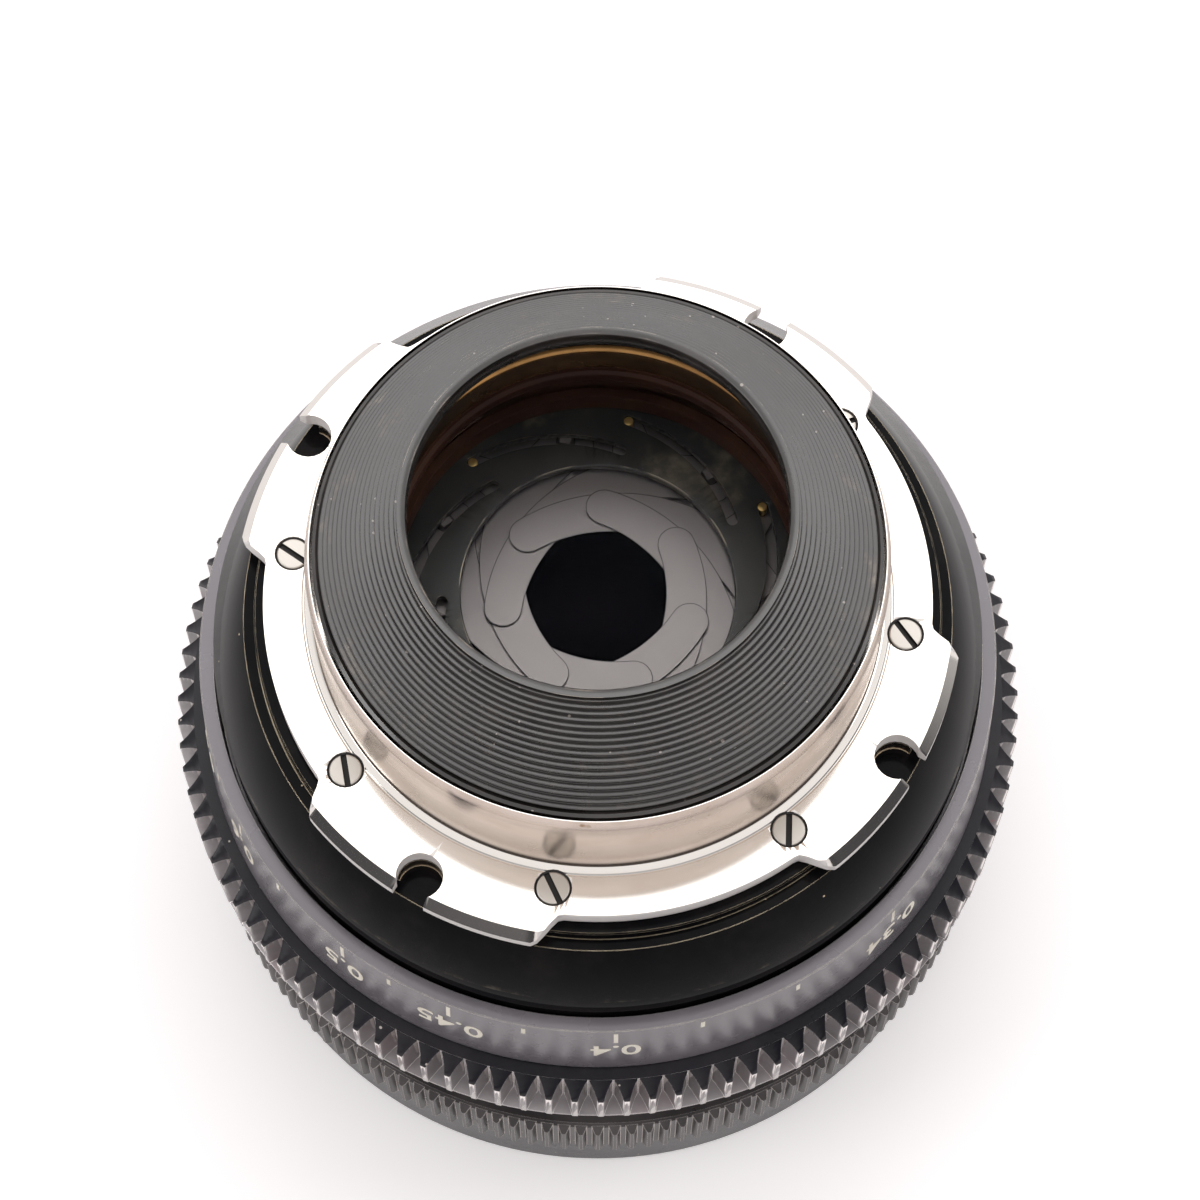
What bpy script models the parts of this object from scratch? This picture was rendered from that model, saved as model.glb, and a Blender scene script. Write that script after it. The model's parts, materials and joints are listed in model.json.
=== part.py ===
"""A prime camera lens standing on its front rim, its four-tab mount facing up.

The lens is a stack of turned rings about the vertical optical axis. Radii are added up from the iris
outwards, and heights from the front rim upwards, so a ring that grows pushes its neighbours along.
Sizes are in millimetres and become metres when a mesh is made. Z = 0 is the plane that the rim stands on.
"""

import math

import bmesh
import bpy
from mathutils import Matrix, Vector

MM = 0.001
TURN = 2 * math.pi

# Clearances.
FIT = 0.3  # between pieces that seat on, or turn in, one another
BLADE_GAP = 0.06  # between one iris blade and the next
STUD_PLAY = 0.1  # around a blade's stud in its cam slot, and around a pivot post

# Facets round a full circle.
OUTER_SIDES = 48
INNER_SIDES = 32
SMALL_SIDES = 12

# Iris: blades that swing on posts, driven by studs in a slotted cam ring.
BLADES = 7
EDGE_INSET = 2.9  # from the pivot circle in to the sickle's inner edge
BLADE_TIP_W = 3.1
BLADE_ROOT_W = 4.5
BLADE_SWEEP_DEG = 98.3  # from a blade's root round to its tip
BLADE_T = 0.1
PIVOT_CIRCLE_R = 16.5
PIVOT_DEG = 49.4  # first pivot post
POST_R = 0.75
STUD_OUTSET = 1.45  # from the pivot circle out to the studs, with the iris wide open
STUD_LEAD_DEG = 31.1  # from a blade's pivot to its stud
STUD_R = 0.42
STUD_FOOT_GAP = 0.02  # between a blade and its stud
STUD_INSET = 0.1  # from the cam ring's top down to a stud's
SLOT_OVERRUN = 0.2  # past the stud's path at each end of a cam slot
EAR_R = 1.4
OPEN_R = 6.46
CLOSED_R = 0.84
CAM_TURN_DEG = 54.0
CAM_BORE_INSET = 3.53  # from the pivot circle in to the cam ring's bore
CAM_T = 0.8
BASE_BORE_INSET = 4.9  # from the pivot circle in to the base's bore
BASE_T = 2.0

# Link from the cam ring to the iris ring.
LINK_DEG = 134.0
LINK_W = 3.2
LINK_T = 2.0
LINK_FOOT_H = 2.3
LINK_KEY_DEPTH = 1.2  # how far the foot reaches into the iris ring
LINK_PLAY_DEG = 2.0
LINK_FOOT_DROP = 0.7  # from the iris ring's top down to the foot's
LINK_WINDOW_GAP = 0.4  # over and under the cam ring's arm
ARM_W = 2.4
ARM_LAP = 1.0  # how far the cam ring's arm reaches into the ring
ARM_INSET = 0.1  # from the link's outer face, and from the ring's faces

# Radial walls and steps, from the iris outwards.
CELL_ROOM = 0.85  # from the blades' ears to the cell's bore
CELL_WALL = 1.3
LINK_ROOM = 0.5
MOUNT_ROOM = 1.0
TUBE_WALL = 2.0
RIM_WALL = 0.5
TUBE_TO_SCREWS = 2.34
SCREWS_TO_FLANGE_EDGE = 2.39
TAB_REACH = 2.87
TAB_CHAMFER = 0.9
STEP_REACH = 1.32
CONE_REACH = 4.35
SCALE_FACE_W = 1.5
SCALE_TAPER = 0.65
HUB_STEP = 1.55  # from the scale band in to the gear's seat
LEDGE_W = 1.15
GEAR_MODULE = 0.8
GEAR_DEPTH = 1.8
SLEEVE_INSET = 4.4  # from the cone's skirt in to the core sleeve
SLEEVE_WALL = 1.6
NUT_REACH = 1.4  # focus retaining ring past the core sleeve
NUT_TO_HELICOID = 2.0
BARREL_WALL = 3.5
BARREL_FLANGE = 5.5  # from the drum out to the iris ring's bearing
FRONT_WALL = 3.0
IRIS_RING_W = 5.0
IRIS_TOOTH_DEPTH = 0.7
IRIS_TEETH = 149
RIM_W = 3.7
FILTER_LIP = 1.3
RIM_CHAMFER = 0.6
IRIS_NUT_INSET = 1.6  # from the roots of the iris ring's teeth

# Heights, from the front rim upwards.
RIM_H = 8.0
RIM_LAP = 4.0  # how far the rim reaches up round the barrel
IRIS_RING_H = 9.7
IRIS_NUT_H = 2.2
SHOULDER_DROP = 1.5
NECK_ROOM = 1.2  # left between the shoulder and the focus ring at infinity
GEAR_RISE = 1.5
GEAR_H = 7.8
SCALE_H = 11.1
SKIRT_LAP = 2.7  # the cone's skirt inside the focus ring
SKIRT_SHOWN = 3.94
CONE_H = 7.06
FLANGE_T = 2.0
TUBE_H = 11.75
TUBE_LEAD_H = 1.3
TUBE_LEAD_W = 0.35
COUNTERBORE_H = 7.25
BAFFLE_OVER_TUBE = 0.25
BAFFLE_RISE = 8.5
BAFFLE_T = 1.2
BAFFLE_LIP_INSET = 4.3  # from the rear cell's outer wall in to the lip
BAFFLE_LIP_W = 0.8
BAFFLE_COLLAR_W = 1.5
BAFFLE_LIP_H = 2.0
BAFFLE_SKIRT_W = 1.0
BAFFLE_COLLAR_LAP = 6.5  # how far the collar reaches down round the cell
CAM_ABOVE_FLANGE = 0.3
SPACER_H = 2.4
SPACER_W = 1.0
REAR_GLASS_T = 4.4
REAR_GLASS_SAG = 1.8
REAR_RETAINER_H = 5.3
REAR_RETAINER_W = 0.9
CELL_OVER_RETAINER = 0.5
CELL_LEDGE_W = 2.0
CELL_LEDGE_H = 3.9
CELL_FLANGE_H = 3.0
INNER_GLASS_T = 3.5
INNER_GLASS_SAG = 1.2
INNER_STEP = 1.4
GLASS_SPACER_H = 3.5
MIDDLE_GLASS_T = 4.0
INNER_RETAINER_H = 2.4
INNER_RETAINER_W = 1.7
CELL_FOOT_LAP = 0.5
SLEEVE_H = 10.0
NUT_H = 2.2
BARREL_LIP_H = 4.0
BARREL_SEAT_H = 1.3
FRONT_CELL_WALL = 2.9
FRONT_CELL_H = 7.6
FRONT_LEDGE_H = 1.1
FRONT_LEDGE_W = 1.8
FRONT_GLASS_T = 3.0
FRONT_SAG = 3.5
FRONT_BACK_SAG = 2.0
FRONT_RETAINER_H = 2.2
FRONT_RETAINER_W = 1.4

# Mount details.
KEYHOLE_DEG = 59.6
KEYHOLE_R = 2.2
KEYHOLE_SLOT_W = 3.3
KEYHOLE_INSET = 2.25  # from a tab's outer edge in to the keyhole's centre
TAB_HALF_DEG = 20.0
TAB_BLEND_DEG = 4.5
SCREWS = 8
SCREW_DEG = 171.95
SCREW_HEAD_R = 1.56
SCREW_HEAD_H = 1.1
SCREW_SLOT_W = 0.45
SCREW_SLOT_D = 0.5
SCREW_SHANK_R = 0.8
SCREW_SHANK_H = 3.6
SCREW_GAP = 0.12

# Guides and stops.
KEYS = 3
KEY_DEG = 30.0
KEY_W = 4.0
KEY_H = 6.7
KEY_T = 1.5
KEY_ROOM = 0.5  # over a key, at the closest focus
FOCUS_LEAD = 11.5  # travel for a full turn of the focus ring
FOCUS_FAR_DEG = 150.0  # from the rest position to infinity
FOCUS_NEAR_DEG = 44.0  # from the rest position to the closest distance
STOP_PIN_DEG = 120.0
STOP_PIN_R = 1.0
STOP_PIN_LAP = 1.5

focus_rise = FOCUS_LEAD * FOCUS_FAR_DEG / 360
focus_drop = FOCUS_LEAD * FOCUS_NEAR_DEG / 360

# Radial stack.
blade_edge_r = PIVOT_CIRCLE_R - EDGE_INSET
stud_circle_r = PIVOT_CIRCLE_R + STUD_OUTSET
cam_bore_r = PIVOT_CIRCLE_R - CAM_BORE_INSET
base_bore_r = PIVOT_CIRCLE_R - BASE_BORE_INSET
cell_bore_r = stud_circle_r + EAR_R + CELL_ROOM
seat_r = cell_bore_r - FIT
cell_r = cell_bore_r + CELL_WALL
baffle_lip_r = cell_r - BAFFLE_LIP_INSET
link_r = cell_r + LINK_ROOM
link_outer_r = link_r + LINK_T
mount_bore_r = link_outer_r + MOUNT_ROOM
tube_r = mount_bore_r + TUBE_WALL
counterbore_r = tube_r - RIM_WALL
baffle_r = counterbore_r - FIT
screw_circle_r = tube_r + TUBE_TO_SCREWS
flange_r = screw_circle_r + SCREWS_TO_FLANGE_EDGE
tab_r = flange_r + TAB_REACH
step_r = flange_r + STEP_REACH
skirt_r = step_r + CONE_REACH
ring_bore_r = skirt_r + FIT
scale_r = ring_bore_r + SCALE_FACE_W
scale_foot_r = scale_r + SCALE_TAPER
gear_seat_r = scale_foot_r - HUB_STEP
gear_bore_r = gear_seat_r + FIT
gear_root_r = scale_foot_r + LEDGE_W
gear_teeth = round(2 * (gear_root_r + GEAR_DEPTH) / GEAR_MODULE) - 2
sleeve_r = skirt_r - SLEEVE_INSET
sleeve_bore_r = sleeve_r - SLEEVE_WALL
nut_r = sleeve_r + NUT_REACH + FIT
helicoid_r = nut_r + NUT_TO_HELICOID
drum_r = sleeve_bore_r - FIT
barrel_bore_r = drum_r - BARREL_WALL
barrel_r = drum_r + BARREL_FLANGE
front_bore_r = barrel_r - FRONT_WALL
front_cell_r = front_bore_r - FIT
front_glass_r = front_cell_r - FRONT_CELL_WALL - FIT
iris_ring_bore_r = barrel_r + FIT
iris_ring_r = iris_ring_bore_r + IRIS_RING_W
rim_bore_r = iris_ring_bore_r
rim_r = rim_bore_r + RIM_W
filter_r = rim_bore_r - FILTER_LIP

# Height stack.
iris_ring_z = RIM_H + FIT
iris_ring_top = iris_ring_z + IRIS_RING_H
iris_nut_z = iris_ring_top + FIT
shoulder_z = iris_nut_z + IRIS_NUT_H + SHOULDER_DROP
focus_ring_z = shoulder_z + focus_rise + NECK_ROOM
gear_z = focus_ring_z + GEAR_RISE
gear_top = gear_z + GEAR_H
scale_z = gear_top + FIT
focus_ring_top = scale_z + SCALE_H
skirt_z = focus_ring_top - SKIRT_LAP
cone_z = focus_ring_top + SKIRT_SHOWN
housing_top = cone_z + CONE_H
flange_z = housing_top + FIT
flange_top = flange_z + FLANGE_T
tube_top = flange_top + TUBE_H
counterbore_z = tube_top - COUNTERBORE_H
baffle_rim_top = tube_top + BAFFLE_OVER_TUBE
baffle_top = baffle_rim_top + BAFFLE_RISE
cam_top = flange_top + CAM_ABOVE_FLANGE
cam_z = cam_top - CAM_T
blades_top = cam_z - BLADE_GAP
blade_pitch = BLADE_T + BLADE_GAP
base_top = blades_top - BLADES * blade_pitch - BLADE_GAP
base_z = base_top - BASE_T
spacer_z = cam_top + FIT
spacer_top = spacer_z + SPACER_H
rear_glass_z = spacer_top + FIT
rear_glass_top = rear_glass_z + REAR_GLASS_T
rear_retainer_z = rear_glass_top + FIT
rear_retainer_top = rear_retainer_z + REAR_RETAINER_H
cell_top = rear_retainer_top + CELL_OVER_RETAINER
cell_ledge_top = base_z - FIT
cell_ledge_z = cell_ledge_top - CELL_LEDGE_H
sleeve_z = skirt_z - SLEEVE_H
nut_top = sleeve_z - FIT
nut_z = nut_top - NUT_H
helicoid_top = nut_z - FIT
key_z = sleeve_z + FIT
key_top = key_z + KEY_H
barrel_top = key_top + focus_drop + KEY_ROOM
cell_z = barrel_top + FIT
cell_flange_top = cell_z + CELL_FLANGE_H
inner_glass_top = cell_ledge_z - FIT
inner_glass_z = inner_glass_top - INNER_GLASS_T
glass_spacer_top = inner_glass_z - FIT
glass_spacer_z = glass_spacer_top - GLASS_SPACER_H
middle_glass_top = glass_spacer_z - FIT
middle_glass_z = middle_glass_top - MIDDLE_GLASS_T
inner_retainer_top = middle_glass_z - FIT
inner_retainer_z = inner_retainer_top - INNER_RETAINER_H
cell_foot_z = inner_retainer_z - CELL_FOOT_LAP
sleeve_bore_top = cell_flange_top + focus_rise + FIT + FIT
link_foot_top = iris_ring_top - LINK_FOOT_DROP
link_foot_z = link_foot_top - LINK_FOOT_H
front_seat_z = link_foot_z - FIT - BARREL_SEAT_H
front_cell_top = front_seat_z - FIT
front_glass_top = front_cell_top - FRONT_LEDGE_H - FIT
front_glass_z = front_glass_top - FRONT_GLASS_T
stop_pin_circle_r = (sleeve_r + skirt_r) / 2
stop_groove_z = skirt_z - FIT - FIT - STOP_PIN_LAP
barrel_foot = RIM_H - RIM_LAP

FINISHES = {
    "bright_nickel": ((0.80, 0.77, 0.73), 0.22, 1.0),
    "screw_steel": ((0.62, 0.59, 0.54), 0.30, 1.0),
    "gloss_black": ((0.012, 0.012, 0.014), 0.12, 0.0),
    "satin_black": ((0.045, 0.042, 0.045), 0.45, 0.3),
    "matt_black": ((0.05, 0.045, 0.045), 0.60, 0.2),
    "blade_grey": ((0.22, 0.20, 0.20), 0.45, 0.6),
    "brass": ((0.62, 0.42, 0.16), 0.32, 1.0),
    "glass": ((0.95, 0.97, 0.96), 0.02, 0.0),
}


def finish(name):
    """The material of this name, made on its first use."""
    if name in bpy.data.materials:
        return bpy.data.materials[name]
    color, roughness, metallic = FINISHES[name]
    material = bpy.data.materials.new(name)
    material.use_nodes = True
    shader = material.node_tree.nodes["Principled BSDF"]
    shader.inputs["Base Color"].default_value = (*color, 1.0)
    shader.inputs["Roughness"].default_value = roughness
    shader.inputs["Metallic"].default_value = metallic
    if name == "glass":
        shader.inputs["Transmission Weight"].default_value = 1.0
    return material


def carrier(name, parent=None):
    """An empty on the optical axis that the pieces of one moving group hang from."""
    empty = bpy.data.objects.new(name, None)
    bpy.context.collection.objects.link(empty)
    empty.parent = parent
    return empty


def add_piece(name, mesh, material, parent=None):
    """Links a mesh as a named piece and shades it."""
    piece = bpy.data.objects.new(name, mesh)
    bpy.context.collection.objects.link(piece)
    piece.parent = parent
    if not mesh.materials:
        mesh.materials.append(finish(material))
        mesh.shade_smooth()
        mesh.set_sharp_from_angle(angle=math.radians(30))
    return piece


def mesh_of(name, points, faces):
    """A closed mesh from points in millimetres, its faces turned outwards."""
    mesh = bpy.data.meshes.new(name)
    mesh.from_pydata([Vector(point) * MM for point in points], [], faces)
    shape = bmesh.new()
    shape.from_mesh(mesh)
    bmesh.ops.recalc_face_normals(shape, faces=shape.faces)
    shape.to_mesh(mesh)
    shape.free()
    return mesh


def polar(radius, degrees, z=0.0):
    """A point from its radius, angle and height."""
    angle = math.radians(degrees)
    return (radius * math.cos(angle), radius * math.sin(angle), z)


def lathe(profile, sides):
    """Points and faces of a closed (radius, height) profile turned about Z. Radius 0 makes a pole."""
    points = []
    rows = []
    for radius, z in profile:
        if radius == 0:
            rows.append([len(points)] * sides)
            points.append((0.0, 0.0, z))
            continue
        rows.append(list(range(len(points), len(points) + sides)))
        points += [polar(radius, 360 * side / sides, z) for side in range(sides)]
    faces = []
    for row, below in zip(rows, rows[1:] + rows[:1]):
        for side in range(sides):
            after = (side + 1) % sides
            corners = [row[side], row[after], below[after], below[side]]
            corners = list(dict.fromkeys(corners))
            if len(corners) > 2:
                faces.append(corners)
    return points, faces


def turned(name, profile, material, parent=None, sides=INNER_SIDES):
    """A ring or disc turned from its closed profile."""
    return add_piece(name, mesh_of(name, *lathe(profile, sides)), material, parent)


def hoop(bore_r, outer_r, low, high):
    """The profile of a plain ring."""
    return [(outer_r, high), (outer_r, low), (bore_r, low), (bore_r, high)]


def prism(outline, low, high):
    """Points and faces of a flat outline pulled from one height to another."""
    count = len(outline)
    points = [(x, y, low) for x, y in outline] + [(x, y, high) for x, y in outline]
    faces = [tuple(range(count - 1, -1, -1)), tuple(range(count, 2 * count))]
    for corner in range(count):
        after = (corner + 1) % count
        faces.append((corner, after, count + after, count + corner))
    return points, faces


def joined(shapes):
    """Several sets of points and faces as one."""
    points = []
    faces = []
    for shape_points, shape_faces in shapes:
        base = len(points)
        points += shape_points
        faces += [tuple(base + corner for corner in face) for face in shape_faces]
    return points, faces


def turned_by(shape, degrees):
    """The shape's points turned about Z."""
    turn = Matrix.Rotation(math.radians(degrees), 3, "Z")
    points, faces = shape
    return [tuple(turn @ Vector(point)) for point in points], faces


def moved_by(shape, x, y):
    """The shape's points shifted across."""
    points, faces = shape
    return [(px + x, py + y, pz) for px, py, pz in points], faces


def sector(bore_r, outer_r, low, high, start_deg, end_deg):
    """An arc-shaped block between two radii, heights and angles."""
    steps = max(2, math.ceil((end_deg - start_deg) / 12))
    angles = [start_deg + (end_deg - start_deg) * step / steps for step in range(steps + 1)]
    outline = [polar(outer_r, angle)[:2] for angle in angles]
    outline += [polar(bore_r, angle)[:2] for angle in reversed(angles)]
    return prism(outline, low, high)


def cylinder(radius, low, high, sides=SMALL_SIDES):
    """An upright round pin about Z."""
    outline = [polar(radius, 360 * (side + 0.5) / sides)[:2] for side in range(sides)]
    return prism(outline, low, high)


def box(x_low, x_high, width, low, high):
    """A block along +X, centred on Y = 0."""
    half = width / 2
    outline = [(x_low, -half), (x_high, -half), (x_high, half), (x_low, half)]
    return prism(outline, low, high)


def combine(piece, mesh, operation, parent):
    """Cuts a mesh out of the piece, or merges it in, with one Boolean."""
    helper = bpy.data.objects.new(mesh.name, mesh)
    bpy.context.collection.objects.link(helper)
    helper.hide_render = True
    helper.display_type = "WIRE"
    helper.parent = parent
    modifier = piece.modifiers.new(operation.lower(), "BOOLEAN")
    modifier.operation = operation
    modifier.solver = "EXACT"
    modifier.object = helper


def cut(piece, shapes):
    """Cuts the shapes out of the piece."""
    combine(piece, mesh_of(piece.name + ".cutter", *joined(shapes)), "DIFFERENCE", piece.parent)


def merge(piece, shapes):
    """Merges the shapes, which reach into the piece, with it."""
    combine(piece, mesh_of(piece.name + ".added", *joined(shapes)), "UNION", piece.parent)


def closing_angle(aperture_r):
    """How far a blade has swung from the axis-centred position to leave this aperture."""
    return 2 * math.degrees(math.asin((blade_edge_r - aperture_r) / 2 / PIVOT_CIRCLE_R))


open_deg = closing_angle(OPEN_R)
swing_deg = closing_angle(CLOSED_R) - open_deg


def stud_place(swing, sides_turn=0.0):
    """Where the first blade's stud is after this swing, seen from a ring turned by sides_turn."""
    pivot = Vector(polar(PIVOT_CIRCLE_R, PIVOT_DEG)[:2])
    stud = Vector(polar(stud_circle_r, PIVOT_DEG + STUD_LEAD_DEG)[:2])
    arm = Matrix.Rotation(math.radians(swing), 2) @ (stud - pivot)
    return Matrix.Rotation(math.radians(-sides_turn), 2) @ (pivot + arm)


def slot_outline():
    """The cam slot that keeps the first stud on its path while the ring turns."""
    steps = 8
    path = [stud_place(swing_deg * step / steps, CAM_TURN_DEG * step / steps) for step in range(steps + 1)]
    half = STUD_R + STUD_PLAY
    path.insert(0, path[0] + (path[0] - path[1]).normalized() * SLOT_OVERRUN)
    path.append(path[-1] + (path[-1] - path[-2]).normalized() * SLOT_OVERRUN)
    left = []
    right = []
    for index, place in enumerate(path):
        before = path[max(index - 1, 0)]
        after = path[min(index + 1, len(path) - 1)]
        along = (after - before).normalized()
        across = Vector((-along.y, along.x)) * half
        left.append(place + across)
        right.append(place - across)
    start_cap = path[0] + (path[0] - path[1]).normalized() * half
    end_cap = path[-1] + (path[-1] - path[-2]).normalized() * half
    outline = [start_cap, *left, end_cap, *reversed(right)]
    return [(point.x, point.y) for point in outline]


def blade_outline():
    """A sickle blade about its own pivot, in the wide-open position of the first blade."""
    pivot = Vector(polar(PIVOT_CIRCLE_R, PIVOT_DEG)[:2])
    sickle = pivot + Matrix.Rotation(math.radians(open_deg), 2) @ -pivot
    root_deg = math.degrees(math.atan2(*(pivot - sickle).yx))
    stud = stud_place(0.0)
    ear_deg = math.degrees(math.atan2(*(stud - sickle).yx))
    tip_deg = root_deg + BLADE_SWEEP_DEG
    tip_r = BLADE_TIP_W / 2
    root_r = BLADE_ROOT_W / 2
    outline = []

    def arc(middle, radius, start, end, steps):
        for step in range(steps + 1):
            outline.append(middle + Vector(polar(radius, start + (end - start) * step / steps)[:2]))

    def width_at(degrees):
        share = (degrees - root_deg) / (tip_deg - root_deg)
        return BLADE_ROOT_W + (BLADE_TIP_W - BLADE_ROOT_W) * share

    arc(sickle, blade_edge_r, root_deg, tip_deg, 9)
    tip = sickle + Vector(polar(blade_edge_r + tip_r, tip_deg)[:2])
    arc(tip, tip_r, tip_deg + 150, tip_deg + 30, 3)
    neck_deg = math.degrees(EAR_R / (blade_edge_r + BLADE_ROOT_W))
    for degrees in (tip_deg, tip_deg - 18, tip_deg - 36, ear_deg + 2.4 * neck_deg, ear_deg + neck_deg):
        outline.append(sickle + Vector(polar(blade_edge_r + width_at(degrees), degrees)[:2]))
    arc(stud, EAR_R, ear_deg + 80, ear_deg - 80, 5)
    for degrees in (ear_deg - neck_deg, root_deg):
        outline.append(sickle + Vector(polar(blade_edge_r + width_at(degrees), degrees)[:2]))
    root = sickle + Vector(polar(blade_edge_r + root_r, root_deg)[:2])
    arc(root, root_r, root_deg - 30, root_deg - 150, 3)
    return [tuple(point - pivot) for point in outline]


def flange_reach(degrees):
    """The flange's outer radius at this angle: tabs, and blends down to the plain edge between them."""
    from_tab = abs((degrees - KEYHOLE_DEG + 45) % 90 - 45)
    share = min(max((from_tab - TAB_HALF_DEG) / TAB_BLEND_DEG, 0), 1)
    return tab_r - TAB_REACH * share * share * (3 - 2 * share)


def flange_angles():
    """Column angles for the mount, closer together where a tab's end blends away."""
    half = [0, 5, 10, 15, TAB_HALF_DEG]
    half += [TAB_HALF_DEG + TAB_BLEND_DEG * step / 4 for step in (1, 2, 3, 4)]
    half += [31.0, 38.0]
    around = [-angle for angle in reversed(half[1:])] + half + [45.0]
    return [KEYHOLE_DEG + 90 * quarter + angle for quarter in range(4) for angle in around]


def mount_flange():
    """The bright mount: a thin tube standing on a flange with four tabs."""
    edge_r = tab_r - TAB_CHAMFER
    rows = [
        (mount_bore_r, flange_z),
        (flange_reach, flange_z),
        (flange_reach, flange_top - TAB_CHAMFER),
        (lambda angle: min(flange_reach(angle), edge_r), flange_top),
        (tube_r, flange_top),
        (tube_r, tube_top - TUBE_LEAD_H),
        (tube_r - TUBE_LEAD_W, tube_top),
        (counterbore_r, tube_top),
        (counterbore_r, counterbore_z),
        (mount_bore_r, counterbore_z),
    ]
    angles = flange_angles()
    count = len(angles)
    points = []
    for radius, z in rows:
        points += [polar(radius(angle) if callable(radius) else radius, angle, z) for angle in angles]
    faces = []
    for row in range(len(rows)):
        here = row * count
        there = (row + 1) % len(rows) * count
        for column in range(count):
            after = (column + 1) % count
            faces.append((here + column, here + after, there + after, there + column))
    piece = add_piece("mount_flange", mesh_of("mount_flange", points, faces), "bright_nickel")
    keyhole_r = tab_r - KEYHOLE_INSET
    above = flange_top + 1
    below = flange_z - 1
    shapes = []
    for quarter in range(4):
        hole = moved_by(cylinder(KEYHOLE_R, below, above, 16), keyhole_r, 0)
        shapes.append(turned_by(hole, KEYHOLE_DEG + 90 * quarter))
    cut(piece, shapes)
    slots = []
    for quarter in range(4):
        slot = box(keyhole_r, tab_r + 2, KEYHOLE_SLOT_W, below, above)
        slots.append(turned_by(slot, KEYHOLE_DEG + 90 * quarter))
    cut(piece, slots)
    head_floor = flange_top - SCREW_HEAD_H - SCREW_GAP
    counterbores = []
    shank_holes = []
    for degrees in screw_angles():
        x, y, _ = polar(screw_circle_r, degrees)
        counterbores.append(moved_by(cylinder(SCREW_HEAD_R + SCREW_GAP, head_floor, above), x, y))
        shank_holes.append(moved_by(cylinder(SCREW_SHANK_R + SCREW_GAP, below, above, 8), x, y))
    cut(piece, counterbores)
    cut(piece, shank_holes)


def screw_angles():
    """Where the mount screws stand round the flange."""
    return [SCREW_DEG + 360 * index / SCREWS for index in range(SCREWS)]


def mount_screws():
    """Slotted screws, flush with the flange."""
    head_z = flange_top - SCREW_HEAD_H
    profile = [
        (0, flange_top),
        (SCREW_HEAD_R, flange_top),
        (SCREW_HEAD_R, head_z),
        (SCREW_SHANK_R, head_z),
        (SCREW_SHANK_R, head_z - SCREW_SHANK_H),
        (0, head_z - SCREW_SHANK_H),
    ]
    first = turned("mount_screw_1", profile, "screw_steel", sides=SMALL_SIDES)
    slot_floor = flange_top - SCREW_SLOT_D
    cut(first, [box(-2 * SCREW_HEAD_R, 2 * SCREW_HEAD_R, SCREW_SLOT_W, slot_floor, flange_top + 1)])
    slotted = bpy.data.meshes.new_from_object(first.evaluated_get(bpy.context.evaluated_depsgraph_get()))
    first.modifiers.clear()
    first.data = slotted
    for index, degrees in enumerate(screw_angles()):
        screw = first if index == 0 else add_piece(f"mount_screw_{index + 1}", slotted, "screw_steel")
        screw.location = Vector(polar(screw_circle_r, degrees)) * MM
        screw.rotation_euler.z = math.radians(degrees + 53 * index + 20)


def rear_housing():
    """The fixed body: step ring, glossy cone, skirt, and the core sleeve that carries the focus ring."""
    piece = turned(
        "rear_housing",
        [
            (mount_bore_r + FIT, housing_top),
            (step_r, housing_top),
            (skirt_r, cone_z),
            (skirt_r, skirt_z),
            (sleeve_r, skirt_z),
            (sleeve_r, sleeve_z),
            (sleeve_bore_r, sleeve_z),
            (sleeve_bore_r, sleeve_bore_top),
            (mount_bore_r + FIT, sleeve_bore_top),
        ],
        "gloss_black",
        sides=OUTER_SIDES,
    )
    hole_floor = flange_top - SCREW_HEAD_H - SCREW_SHANK_H - FIT
    shapes = []
    for degrees in screw_angles():
        x, y, _ = polar(screw_circle_r, degrees)
        shapes.append(moved_by(cylinder(SCREW_SHANK_R + SCREW_GAP, hole_floor, housing_top + 1, 8), x, y))
    pin_x, pin_y, _ = polar(stop_pin_circle_r, STOP_PIN_DEG)
    pin_hole = cylinder(STOP_PIN_R + FIT, skirt_z - 1, skirt_z + STOP_PIN_LAP + FIT, 8)
    shapes.append(moved_by(pin_hole, pin_x, pin_y))
    cut(piece, shapes)


def guides():
    """The keys that stop the optics turning, the focus stop pin, and the focus ring's retaining ring."""
    for index in range(KEYS):
        name = f"guide_key_{index + 1}"
        shape = box(sleeve_bore_r - FIT - KEY_T, sleeve_bore_r - FIT, KEY_W, key_z, key_top)
        shape = turned_by(shape, KEY_DEG + 360 * index / KEYS)
        add_piece(name, mesh_of(name, *shape), "brass")
    pin = cylinder(STOP_PIN_R, stop_groove_z + FIT, skirt_z + STOP_PIN_LAP, 8)
    stop_pin = add_piece("focus_stop_pin", mesh_of("focus_stop_pin", *pin), "screw_steel")
    stop_pin.location = Vector(polar(stop_pin_circle_r, STOP_PIN_DEG)) * MM
    turned("focus_retaining_ring", hoop(sleeve_bore_r, nut_r - FIT, nut_z, nut_top), "satin_black")


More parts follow.
